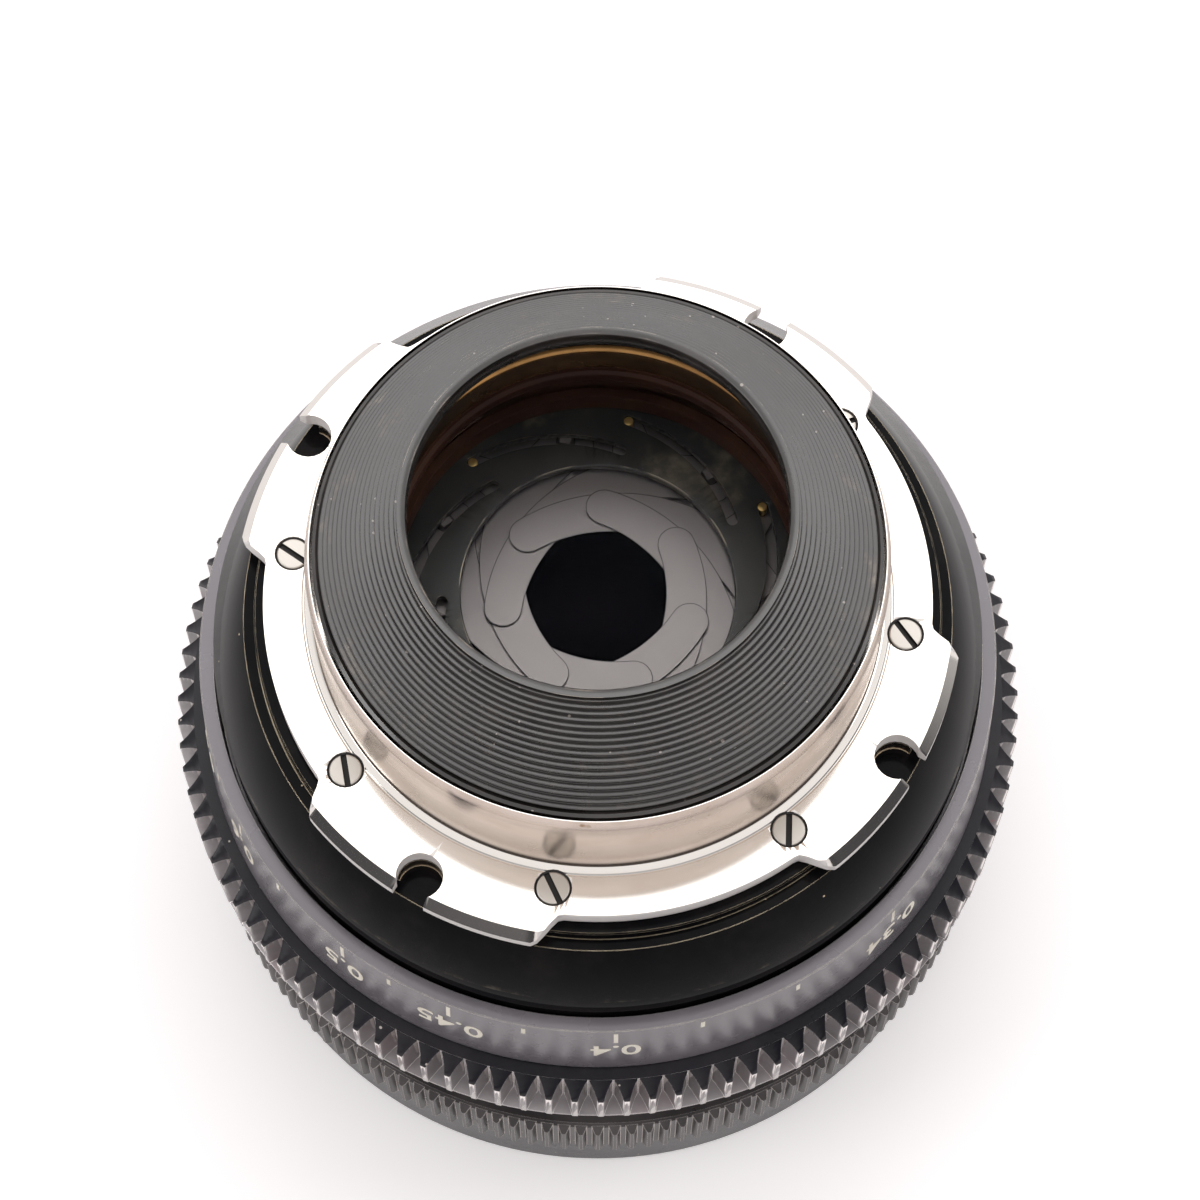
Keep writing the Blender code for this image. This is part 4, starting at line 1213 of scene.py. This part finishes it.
@dataclass
class FocusRing(Assembly):
    """The focus ring with its painted scale, and the follow-focus gear."""

    top_w: float = 1.5
    taper: float = 0.65
    band_h: float = 11.1
    hub_r: float = 38.3
    wall_w: float = 2.8
    seat_r: float = 34.7
    seat_h: float = 5.5
    ledge_h: float = 8.3
    nut_r: float = 33.3
    web_z: float = 45.7
    edge_round: float = 0.14
    teeth: int = 105
    tooth_deg: float = 270.4
    flank: Profile = (
        (-0.15, 0.48),
        (0.1, 0.45),
        (0.4, 0.36),
        (0.9, 0.25),
        (1.4, 0.165),
        (1.8, 0.115),
    )
    gear_bore_r: float = 38.6
    tooth_depth: float = 1.8
    runout_h: float = 1.9
    text_size: float = 4.1
    stroke_w: float = 0.045
    paint_t: float = 0.03
    tick_w: float = 0.42
    long_tick: tuple[float, float] = (2.0, 2.6)
    short_tick: tuple[float, float] = (1.6, 1.4)
    number_drop: float = 5.5
    near_deg: float = 272.5
    near_m: float = 0.4
    scale_k: float = 39.92
    scale_offset_m: float = 0.1337
    distances: tuple[float, ...] = (0.34, 0.4, 0.45, 0.5, 0.6, 0.7, 0.85, 1, 1.2, 1.5, 2, 3, 10)
    near_steps: int = 3

    def build(self) -> None:
        """Builds the ring, the scale and the gear."""
        span = Span.of("focus_ring")
        band_low = span.high - self.band_h
        top_r = span.radius - self.taper
        bore = top_r - self.top_w
        inner = span.radius - self.wall_w
        seat = span.low + self.seat_h
        ledge = span.low + self.ledge_h
        piece = Bench.turned(
            "focus_band",
            [
                (bore, span.high),
                (top_r, span.high),
                (span.radius, band_low),
                (self.hub_r, band_low),
                (self.hub_r, span.low),
                (inner, span.low),
                (inner, seat),
                (self.seat_r, seat),
                (self.seat_r, ledge),
                (self.nut_r, ledge),
                (self.nut_r, self.web_z),
                (bore, self.web_z),
            ],
        )
        Bench.soften(piece, self.edge_round)
        self.place(piece, BAND_GREY, "focus_ring")
        self._scale(span)
        self._gear()
        self.dress(AGED_BRASS, "focus_helicoid")

    def _angle(self, distance: float) -> float:
        """Where a distance stands on the ring.

        Args:
            distance: The distance in metres.

        Returns:
            Its angle in degrees.
        """
        nearest = self.scale_k / (self.near_m - self.scale_offset_m)
        return self.near_deg - nearest + self.scale_k / (distance - self.scale_offset_m)

    def _wrap(self, piece: Piece, span: Span, degrees: float, drop: float) -> None:
        """Bends a flat piece round the scale band, upright for someone who holds the lens mount down.

        Args:
            piece: The flat piece, its origin at the middle.
            span: The focus ring's room.
            degrees: Where its middle goes.
            drop: How far below the ring's top its middle goes, in millimetres.
        """
        for vertex in piece.data.vertices:
            x, y, lift = vertex.co / MM
            height = span.high - drop - y
            radius = span.radius - self.taper * (1 - (drop + y) / self.band_h)
            radius += lift + self.paint_t / 2
            spot = polar(radius, degrees - math.degrees(x / radius))
            vertex.co = (spot.x * MM, spot.y * MM, height * MM)

    def _scale(self, span: Span) -> None:
        """Paints the distances and their ticks on the band.

        Args:
            span: The focus ring's room.
        """
        marks = []
        for distance in self.distances:
            degrees = self._angle(distance)
            marks.append(self._tick(span, degrees, *self.long_tick))
            marks.append(self._number(span, f"{distance:g}", degrees, self.number_drop))
        for first, second in pairwise(self.distances):
            steps = self.near_steps if first == self.distances[0] else 2
            for step in range(1, steps):
                between = self._angle(first + (second - first) * step / steps)
                marks.append(self._tick(span, between, *self.short_tick))
        piece = Bench.joined("focus_scale", marks)
        self.place(piece, CREAM_PAINT)

    def _tick(self, span: Span, degrees: float, drop: float, length: float) -> Piece:
        """One line of the scale.

        Args:
            span: The focus ring's room.
            degrees: Where it stands.
            drop: Its middle below the ring's top.
            length: Its length.

        Returns:
            The line, in place.
        """
        size = Vector((self.tick_w, length, self.paint_t))
        tick = Bench.block("tick", Vector((0, 0, 0)), size, 0)
        self._wrap(tick, span, degrees, drop)
        return tick

    def _number(self, span: Span, words: str, degrees: float, drop: float) -> Piece:
        """One number of the scale.

        Args:
            span: The focus ring's room.
            words: The number.
            degrees: Where its middle stands.
            drop: Its middle below the ring's top.

        Returns:
            The number, in place.
        """
        Bench.clear_selection()
        bpy.ops.object.text_add()
        text = bpy.context.object
        text.data.body = words
        text.data.size = self.text_size * MM
        text.data.align_x = "CENTER"
        text.data.align_y = "CENTER"
        text.data.resolution_u = 4
        text.data.extrude = self.paint_t / 2 * MM
        text.data.offset = self.stroke_w * MM
        bpy.ops.object.convert(target="MESH")
        number = Bench.named("number")
        self._wrap(number, span, degrees, drop)
        return number

    def _gear(self) -> None:
        """Builds the gear's ring and its straight teeth, whose upper ends follow a cone."""
        span = Span.of("focus_gear")
        root_r = span.radius - self.tooth_depth
        ring = Bench.turned(
            "gear_ring",
            [
                (self.gear_bore_r, span.high),
                (root_r, span.high),
                (root_r, span.low + self.runout_h),
                (root_r + self.tooth_depth * 0.45, span.low + self.runout_h * 0.45),
                (span.radius - 0.1, span.low + 0.25),
                (span.radius - 0.1, span.low),
                (self.gear_bore_r, span.low),
            ],
            self.teeth * 2,
        )
        outline = tooth_outline(root_r, self.teeth, self.flank)
        tooth = Bench.plate("tooth", outline, span.low, span.high)
        for vertex in tooth.data.vertices:
            depth = vertex.co.xy.length / MM - root_r
            if vertex.co.z > (span.low + 1) * MM:
                vertex.co.z -= max(depth, 0) * MM
        tooth.data.transform(Matrix.Rotation(math.radians(self.tooth_deg), 4, "Z"))
        Bench.soften(tooth, 0.05, angle=45, segments=1)
        Bench.repeated(tooth, self.teeth)
        Bench.soften(ring, 0)
        gear = Bench.joined("gear", [ring, tooth])
        Bench.soften(gear, 0)
        foot = (span.low + self.runout_h) * MM

        def worn(face: Face) -> bool:
            """Whether a face is bare metal, as all but the tops of the teeth are."""
            return face.center.z < foot or face.normal.z < 0.3

        Bench.paint(gear, (GEAR_BLACK, GEAR_WORN), worn)
        self.place(gear, GEAR_BLACK, "focus_gear")


@dataclass
class Optics(Assembly):
    """What slides with the optics: the baffle, the glass, the cells, the barrel and the front rim."""

    lip_r: float = 17.2
    lip_w: float = 0.8
    baffle_t: float = 1.2
    ridges: int = 17
    ridge_depth: float = 0.45
    ridge_shape: Profile = (
        (0.0, 1.0),
        (0.12, 0.9),
        (0.36, 0.12),
        (0.5, 0.0),
        (0.64, 0.12),
        (0.88, 0.9),
    )
    ridge_lean: float = 0.7
    ridge_drop: float = 0.15
    ridge_inset: float = 0.35
    crown_h: float = 0.35
    lip_bevel: float = 0.12
    collar_r: float = 23.3
    throat_r: float = 21.8
    baffle_rise: float = 8.5
    rear_sag: float = 1.8
    front_sag: float = 3.5
    front_back_sag: float = 2.0
    filter_r: float = 35.5
    thread_pitch: float = 0.75
    thread_turns: int = 4
    thread_depth: float = 0.35
    thread_start: float = 0.4
    rim_bevel: float = 0.6
    well_z: float = 3.7
    seat_r: float = 36.8
    band_foot_h: float = 1.9
    band_w: float = 0.9
    foot_step_w: float = 0.5
    ring_round: float = 0.08
    retainer_w: float = 1.4
    keeper_w: float = 2.7
    glass_gap: float = 0.3
    cell_bevel: float = 1.0
    cell_lip_h: float = 1.1
    cell_lip_w: float = 1.8

    def build(self) -> None:
        """Builds every piece of the optics."""
        self._baffle()
        self._rear()
        self._front()
        finishes = {"main_barrel": BARREL_BLACK, "rear_cell": BROWN_BLACK, "iris_base": BLADE}
        for name, finish in finishes.items():
            copy = Bench.smooth_copy(self.frame["nodes"][name], name.replace("_", "-"))
            self.place(copy, finish, name)
        self.dress(INNER_BLACK, "glass_spacer", "inner_retainer")
        # The inner lenses are tinted dark as painted shade.
        self.dress(SHADE_GLASS, "inner_glass", "middle_glass")

    def _baffle(self) -> None:
        """Builds the ridged cone."""
        span = Span.of("rear_baffle")
        top_r = self.lip_r + self.lip_w
        rim_top = span.high - self.baffle_rise
        start = span.high - self.ridge_drop
        run = span.radius - self.ridge_inset - top_r
        fall = start - rim_top
        bevel = self.lip_bevel
        profile = [
            (self.lip_r, span.high - bevel),
            (self.lip_r + bevel, span.high),
            (top_r, span.high),
        ]
        for ridge in range(self.ridges):
            for step, depth in self.ridge_shape:
                share = (ridge + step) / self.ridges
                crown = self.crown_h * math.sin(math.pi * share)
                sunk = self.ridge_depth * depth * self.ridge_lean
                profile.append((top_r + run * share - sunk, start - fall * share + crown - sunk))
        profile += [
            (span.radius - 0.3, rim_top),
            (span.radius, rim_top - 0.2),
            (span.radius, rim_top - self.baffle_t),
            (span.radius - 1.0, rim_top - self.baffle_t),
            (self.collar_r, rim_top + 1.0),
            (self.collar_r, span.low),
            (self.throat_r, span.low),
            (self.throat_r, rim_top + 2.4),
            (self.lip_r, span.high - 2.0),
        ]
        piece = Bench.turned("baffle", profile)
        Bench.soften(piece, 0, angle=50)
        self.place(piece, BAFFLE_BLACK, "rear_baffle")

    def _lens(
        self, name: str, node: str, sags: tuple[float, float], edges: tuple[float, float]
    ) -> Piece:
        """Builds a lens from its rim.

        Args:
            name: The piece's name.
            node: The CAD node that it stands for.
            sags: How far the lower and upper faces stand out at the middle, upwards.
            edges: Heights of the rim's lower and upper edges.

        Returns:
            The lens.
        """
        radius = Span.of(node).radius
        low, high = edges
        steps = 16
        profile = []
        for step in range(1, steps + 1):
            share = step / steps
            profile.append((radius * share, high + sags[1] * (1 - share * share)))
        for step in range(steps, 0, -1):
            share = step / steps
            profile.append((radius * share, low + sags[0] * (1 - share * share)))
        piece = Bench.turned(name, profile, ROUND_SIDES, capped=True)
        Bench.soften(piece, 0)
        return self.place(piece, CLEAR_GLASS, node)

    def _ring(
        self, name: str, node: str, width: float, finish: Finish, round_mm: float = 0.1
    ) -> Piece:
        """Builds a plain ring from its CAD node's room.

        Args:
            name: The piece's name.
            node: The CAD node that it stands for.
            width: Its radial width.
            finish: Its finish.
            round_mm: Rounding of its edges.

        Returns:
            The ring.
        """
        span = Span.of(node)
        bore = span.radius - width
        outer = span.radius
        profile = [(bore, span.high), (outer, span.high), (outer, span.low), (bore, span.low)]
        piece = Bench.turned(name, profile)
        Bench.soften(piece, round_mm)
        return self.place(piece, finish, node)

    def _rear(self) -> None:
        """Builds the rear lens, its brass ring and the spacer below it."""
        span = Span.of("rear_glass")
        edges = (span.low, span.high - self.rear_sag)
        self._lens("rear_lens", "rear_glass", (self.rear_sag,) * 2, edges)
        self._rear_ring()
        self._ring("spacer", "iris_spacer", 1.0, BROWN_BLACK)

    def _rear_ring(self) -> None:
        """Builds the rear lens's ring: a golden band over a stepped brown foot."""
        span = Span.of("rear_retainer")
        foot = span.low + self.band_foot_h
        bore = span.radius - self.band_w
        lip = bore - self.foot_step_w
        profile = [
            (bore + 0.1, span.high - 0.3),
            (span.radius - 0.2, span.high),
            (span.radius, foot),
            (bore, foot),
        ]
        band = Bench.turned("rear_lens_ring", profile)
        Bench.soften(band, self.ring_round)
        self.place(band, GOLD, "rear_retainer")
        base = Bench.turned(
            "rear_lens_ring_foot",
            [
                (bore - 0.05, foot),
                (span.radius, foot),
                (span.radius, span.low),
                (lip, span.low),
                (lip, span.low + 1.2),
                (bore - 0.05, span.low + 1.4),
            ],
        )
        Bench.soften(base, self.ring_round)
        self.place(base, BROWN_BLACK)

    def _front(self) -> None:
        """Builds the front lens, its cell and ring, the threaded rim and the iris ring's keeper."""
        span = Span.of("front_glass")
        edges = (span.low + self.front_sag, span.high)
        self._lens("front_lens", "front_glass", (-self.front_sag, -self.front_back_sag), edges)
        self._ring("front_lens_ring", "front_retainer", self.retainer_w, ANODISED)
        self._ring("iris_keeper", "iris_retaining_ring", self.keeper_w, BARREL_BLACK)
        cell = Span.of("front_cell")
        inner = span.radius + self.glass_gap
        lip = inner - self.cell_lip_w
        lip_low = cell.high - self.cell_lip_h
        piece = Bench.turned(
            "front_lens_cell",
            [
                (cell.radius, cell.high),
                (cell.radius, cell.low),
                (inner + self.cell_bevel, cell.low),
                (inner, cell.low + self.cell_bevel),
                (inner, lip_low),
                (lip, lip_low),
                (lip, cell.high),
            ],
        )
        Bench.soften(piece, 0.1)
        self.place(piece, INNER_BLACK, "front_cell")
        rim = Span.of("front_rim")
        thread = rim.low + self.thread_start
        profile = [
            (rim.radius, rim.high),
            (rim.radius, rim.low + self.rim_bevel),
            (rim.radius - self.rim_bevel, rim.low),
            (self.filter_r + 0.5, rim.low),
            (self.filter_r + 0.1, thread),
        ]
        for turn in range(self.thread_turns):
            start = thread + turn * self.thread_pitch
            profile.append((self.filter_r + self.thread_depth, start + self.thread_pitch * 0.5))
            profile.append((self.filter_r + 0.02, start + self.thread_pitch))
        well = self.well_z
        profile += [(self.filter_r, well), (self.seat_r, well), (self.seat_r, rim.high)]
        piece = Bench.turned("filter_rim", profile)
        Bench.soften(piece, 0)
        self.place(piece, ANODISED, "front_rim")


@dataclass
class IrisRing(Assembly):
    """The fine-toothed iris ring, the slotted cam ring and the link between them."""

    teeth: int = 149
    tooth_depth: float = 0.7
    tooth_deg: float = 270.0
    flank: Profile = ((-0.15, 0.36), (0.25, 0.28), (0.55, 0.19), (0.7, 0.1))
    rim_bevel: float = 0.4
    skirt_h: float = 1.6
    skirt_bevel: float = 0.3
    flute_drop: float = 0.2
    bore_r: float = 36.8
    cam_bore_r: float = 12.97
    slot_half: float = 0.52

    def build(self) -> None:
        """Builds the ring and the cam."""
        self._fluted()
        self._cam()
        self.dress(BRASS, "iris_link")

    def _fluted(self) -> None:
        """Builds the ring that the hand turns."""
        span = Span.of("iris_ring")
        root_r = span.radius - self.tooth_depth
        ring = Bench.turned(
            "fluted_ring",
            [
                (self.bore_r, span.high),
                (root_r - self.rim_bevel, span.high),
                (root_r, span.high - self.rim_bevel),
                (root_r, span.low + self.skirt_h),
                (root_r - self.skirt_bevel, span.low),
                (self.bore_r, span.low),
            ],
            self.teeth * 2,
        )
        outline = tooth_outline(root_r, self.teeth, self.flank)
        tooth = Bench.plate("flute", outline, span.low + self.skirt_h, span.high - self.flute_drop)
        for vertex in tooth.data.vertices:
            depth = vertex.co.xy.length / MM - root_r
            lean = max(depth, 0) * MM
            vertex.co.z += lean if vertex.co.z < (span.low + 3) * MM else -lean
        tooth.data.transform(Matrix.Rotation(math.radians(self.tooth_deg), 4, "Z"))
        Bench.repeated(tooth, self.teeth)
        Bench.soften(ring, 0)
        piece = Bench.joined("fluted_ring", [ring, tooth])
        Bench.soften(piece, 0)
        self.place(piece, FLUTED_GREY, "iris_ring")

    def _cam(self) -> None:
        """Builds the cam ring and cuts a slot for each blade's stud."""
        span = Span.of("iris_cam_ring")
        piece = Bench.turned(
            "cam_ring",
            [
                (self.cam_bore_r, span.high - 0.1),
                (self.cam_bore_r + 0.15, span.high),
                (span.radius, span.high),
                (span.radius, span.low),
                (self.cam_bore_r, span.low),
            ],
        )
        cutters = []
        blades = [joint for joint in self.frame["joints"] if joint["name"].startswith("blade_")]
        for index in range(len(blades)):
            outline = self._slot(index)
            cutters.append(Bench.plate("slot", outline, span.low - 1, span.high + 1))
        Bench.cut(piece, Bench.joined("slots", cutters))
        Bench.soften(piece, 0.05)
        self.place(piece, CAM_BLACK, "iris_cam_ring")

    def _slot(self, index: int) -> Outline:
        """The slot that leads one stud while the ring turns.

        Args:
            index: The blade's place, from 0.

        Returns:
            The slot's outline.
        """
        joints = {joint["name"]: joint for joint in self.frame["joints"]}
        swing = joints[f"blade_{index + 1}_swing"]
        pivot = Vector(swing["pos_m"]).xy / MM
        lowest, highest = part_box(f"iris_stud_{index + 1}")
        stud = ((lowest + highest) / 2).xy / MM
        behaviour = self.frame["record"]["behaviour"]
        couplings = {entry["joint"]: entry["ratio"] for entry in behaviour["couplings"]}
        ratio = couplings[swing["name"]]
        turn = math.radians(joints["iris_turn"]["range_deg"][1])
        path = []
        steps = 16
        for step in range(steps + 1):
            angle = turn * step / steps
            swung = pivot + Matrix.Rotation(ratio * angle, 2) @ (stud - pivot)
            path.append(Matrix.Rotation(-angle, 2) @ swung)
        return self._capsule(path)

    def _capsule(self, path: Sequence[Vector]) -> Outline:
        """Widens a path into a round-ended outline.

        Args:
            path: The middle line.

        Returns:
            The outline's corners.
        """
        ways = [(after - before).normalized() for before, after in pairwise(path)]
        ways.append(ways[-1])
        left = []
        right = []
        for spot, way in zip(path, ways):
            across = Vector((-way.y, way.x)) * self.slot_half
            left.append(spot + across)
            right.append(spot - across)
        corners = []
        for tip, way, side in ((path[-1], ways[-1], left), (path[0], -ways[0], right[::-1])):
            corners += side
            facing = math.atan2(way.y, way.x)
            for step in range(1, 6):
                angle = facing + math.pi / 2 - math.pi * step / 6
                corners.append(tip + Vector((math.cos(angle), math.sin(angle))) * self.slot_half)
        return [(corner.x, corner.y) for corner in corners]


@dataclass
class Blade(Assembly):
    """One iris blade with its stud."""

    index: int = 0
    edge_r: float = 13.6
    tip_w: float = 3.6
    root_w: float = 5.0
    # Width of the painted-shade band round the blade's top face.
    shade_band_w: float = 0.07
    ear_r: float = 1.4
    open_deg: float = 24.99
    sweep_deg: float = 98.3
    stud_r: float = 0.46
    hole_r: float = 0.84
    tip_top: float = 61.42
    lean: float = 0.007
    leaf_t: float = 0.02

    def build(self) -> None:
        """Builds the blade and the stud."""
        joints = {joint["name"]: joint for joint in self.frame["joints"]}
        pivot = Vector(joints[f"blade_{self.index + 1}_swing"]["pos_m"]).xy / MM
        lowest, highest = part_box(f"iris_stud_{self.index + 1}")
        stud = ((lowest + highest) / 2).xy / MM
        piece = Bench.plate(f"blade_{self.index + 1}", self._outline(pivot, stud), 0, self.leaf_t)
        Bench.cut(piece, Bench.pin("pivot_hole", pivot, self.hole_r, -1, 1))
        self._lean(piece, pivot)
        self.place(piece, BLADE, f"iris_blade_{self.index + 1}")
        foot = self._height(stud, pivot)
        pin = Bench.pin(f"stud_{self.index + 1}", stud, self.stud_r, foot, highest.z / MM)
        Bench.soften(pin, 0.06)
        self.place(pin, BRASS, f"iris_stud_{self.index + 1}")

    def _height(self, spot: Vector, pivot: Vector) -> float:
        """Height of the blade's upper face, which rises evenly from root to tip.

        Args:
            spot: The place in the plane, in millimetres.
            pivot: The blade's post.

        Returns:
            The height in millimetres.
        """
        middle = self._middle(pivot)
        along = -math.degrees((pivot - middle).angle_signed(spot - middle))
        return self.tip_top - (self.sweep_deg + 6 - along) * self.lean

    def _lean(self, piece: Piece, pivot: Vector) -> None:
        """Leans the blade, so that every tip lies on the next blade and none cuts another as they close,
        and paints a thin dark band of painted shade round its top face.

        Args:
            piece: The flat blade, its underside at the origin's height.
            pivot: The blade's post.
        """
        Bench.hold(piece)
        bpy.ops.object.mode_set(mode="EDIT")
        bpy.ops.mesh.select_all(action="SELECT")
        bpy.ops.mesh.quads_convert_to_tris(quad_method="BEAUTY", ngon_method="BEAUTY")
        bpy.ops.mesh.select_all(action="DESELECT")
        bpy.ops.object.mode_set(mode="OBJECT")
        for face in piece.data.polygons:
            face.select = face.normal.z > UPRIGHT
        bpy.ops.object.mode_set(mode="EDIT")
        bpy.ops.mesh.inset(thickness=self.shade_band_w * MM, use_boundary=True)
        bpy.ops.object.mode_set(mode="OBJECT")
        inner = {corner for face in piece.data.polygons if face.select for corner in face.vertices}
        for vertex in piece.data.vertices:
            vertex.co.z += (self._height(vertex.co.xy / MM, pivot) - self.leaf_t) * MM
        # The border band of the top face takes the near-black finish: painted shade.
        Bench.paint(piece, (BLADE, BLADE_EDGE_SHADE), lambda face: not inner.issuperset(face.vertices))

    def _middle(self, pivot: Vector) -> Vector:
        """The middle of the sickle's arc, with the iris wide open."""
        return pivot + Matrix.Rotation(math.radians(self.open_deg), 2) @ -pivot

    def _outline(self, pivot: Vector, stud: Vector) -> Outline:
        """The sickle: an inner edge, a round tip, an outer edge with an ear for the stud, and a round root.

        Args:
            pivot: The blade's post.
            stud: The blade's stud.

        Returns:
            The corners in order.
        """
        middle = self._middle(pivot)
        root_deg = math.degrees(math.atan2(*(pivot - middle).yx))
        ear_deg = math.degrees(math.atan2(*(stud - middle).yx))
        ear_deg += 360 * round((root_deg - ear_deg) / 360)
        tip_deg = root_deg + self.sweep_deg
        neck = math.degrees(self.ear_r / (self.edge_r + self.root_w))
        outline: list[Vector] = []

        def arc(center: Vector, radius: float, start: float, end: float, steps: int) -> None:
            """Adds an arc's points to the outline."""
            for step in range(steps + 1):
                outline.append(center + polar(radius, start + (end - start) * step / steps))

        def outer(degrees: float) -> Vector:
            """A point on the outer edge."""
            share = (degrees - root_deg) / self.sweep_deg
            return middle + polar(self.edge_r + self.root_w + (self.tip_w - self.root_w) * share, degrees)

        arc(middle, self.edge_r, root_deg, tip_deg, 36)
        tip = middle + polar(self.edge_r + self.tip_w / 2, tip_deg)
        arc(tip, self.tip_w / 2, tip_deg + 165, tip_deg + 15, 8)
        steps = 20
        shoulder = ear_deg + 1.6 * neck
        outline += [outer(tip_deg + (shoulder - tip_deg) * step / steps) for step in range(steps + 1)]
        arc(stud, self.ear_r, ear_deg + 75, ear_deg - 75, 10)
        outline.append(outer(ear_deg - 1.6 * neck))
        outline.append(outer(root_deg))
        root = middle + polar(self.edge_r + self.root_w / 2, root_deg)
        arc(root, self.root_w / 2, root_deg - 15, root_deg - 165, 8)
        return [(corner.x, corner.y) for corner in outline]


@dataclass
class Studio:
    """The floor, the light and the camera."""

    lens_mm: float = 102.87
    distance: float = 325.1
    elevation_deg: float = 68.22
    target_z: float = 62.0
    shift: tuple[float, float] = (0.0018, -0.0055)
    floor_r: float = 0.45
    floor_glow: float = 0.25
    backdrop: tuple[float, float, float] = (1.0, 0.98, 0.985)
    aim: tuple[float, float, float] = (0, 0, 0.05)

    def build(self) -> None:
        """Builds the studio."""
        self._camera()
        self._floor()
        self._world()
        self._lights()
        bpy.context.scene.view_settings.view_transform = "Standard"

    def _camera(self) -> None:
        """Adds the camera and makes it the scene's own."""
        data = bpy.data.cameras.new("camera")
        data.lens = self.lens_mm
        data.shift_x, data.shift_y = self.shift
        camera = bpy.data.objects.new("camera", data)
        bpy.context.scene.collection.objects.link(camera)
        tilt = math.radians(self.elevation_deg)
        away = Vector((0, -math.cos(tilt), math.sin(tilt)))
        camera.location = (Vector((0, 0, self.target_z)) + away * self.distance) * MM
        camera.rotation_euler = (-away).to_track_quat("-Z", "Y").to_euler()
        bpy.context.scene.camera = camera

    def _floor(self) -> None:
        """Adds the pale floor."""
        Bench.clear_selection()
        bpy.ops.mesh.primitive_circle_add(
            vertices=ROUND_SIDES, radius=self.floor_r, fill_type="NGON"
        )
        floor = Bench.named("floor")
        floor.data.materials.append(shaded("floor", self._floor_finish))

    def _floor_finish(self, sheet: Sheet, shader: bpy.types.Node) -> None:
        """Draws the floor's pale paint, which the camera sees a little brighter than it is.

        Args:
            sheet: The material's tree.
            shader: Its main shader.
        """
        cloud = sheet.noise(sheet.place(), 6.0, 3.0)
        color = sheet.mix(sheet.ramp(cloud, 0.3, 0.7), (0.93, 0.905, 0.91), (0.95, 0.93, 0.935))
        sheet.feed(shader.inputs["Base Color"], color)
        shader.inputs["Roughness"].default_value = 0.6
        seen = sheet.node("LightPath").outputs["Is Camera Ray"]
        shader.inputs["Emission Color"].default_value = (*self.backdrop, 1.0)
        glow = sheet.math("MULTIPLY", seen, self.floor_glow)
        sheet.feed(shader.inputs["Emission Strength"], glow)

    def _world(self) -> None:
        """Surrounds the scene with pale light, dimmer low down on the camera's side."""
        world = bpy.data.worlds.new("studio")
        bpy.context.scene.world = world
        world.use_nodes = True
        sheet = Sheet(world.node_tree)
        background = world.node_tree.nodes["Background"]
        split = sheet.node("SeparateXYZ")
        sheet.feed(split.inputs[0], sheet.node("TexCoord").outputs["Generated"])
        height = sheet.ramp(split.outputs[2], 0.15, 0.85)
        behind = sheet.ramp(split.outputs[1], -0.3, 0.6)
        level = sheet.math("MAXIMUM", height, sheet.math("MULTIPLY", behind, 0.8))
        color = sheet.mix(level, (0.07, 0.068, 0.072), (1.05, 1.02, 1.01))
        seen = sheet.node("LightPath").outputs["Is Camera Ray"]
        sheet.feed(background.inputs[0], sheet.mix(seen, color, self.backdrop))
        background.inputs[1].default_value = 1.0

    def _lights(self) -> None:
        """Adds a wide soft light overhead and a weaker one from each side."""
        for name, place, size, power in (
            ("overhead", (0.0, 0.5, 0.9), 0.6, 1.6),
            ("left", (-0.7, -0.2, 0.5), 0.3, 0.9),
            ("right", (0.7, 0.1, 0.5), 0.3, 0.7),
        ):
            data = bpy.data.lights.new(name, "AREA")
            data.size = size
            data.energy = power
            light = bpy.data.objects.new(name, data)
            light.location = place
            facing = Vector(self.aim) - Vector(place)
            light.rotation_euler = facing.to_track_quat("-Z", "Y").to_euler()
            bpy.context.scene.collection.objects.link(light)


def main() -> None:
    """Loads the frame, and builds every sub-assembly round it and the studio."""
    logging.basicConfig(level=logging.INFO, format="%(message)s")
    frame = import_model()
    assemblies = [
        Mount(frame, "barrel"),
        Housing(frame, "barrel"),
        FocusRing(frame, "focus_ring"),
        Optics(frame, "optics"),
        IrisRing(frame, "iris_ring"),
    ]
    blades = [name for name in frame["bodies"] if name.startswith("blade_")]
    assemblies += [Blade(frame, name, index=int(name.removeprefix("blade_")) - 1) for name in blades]
    for assembly in assemblies:
        assembly.build()
    Studio().build()


if __name__ == "__main__":
    main()
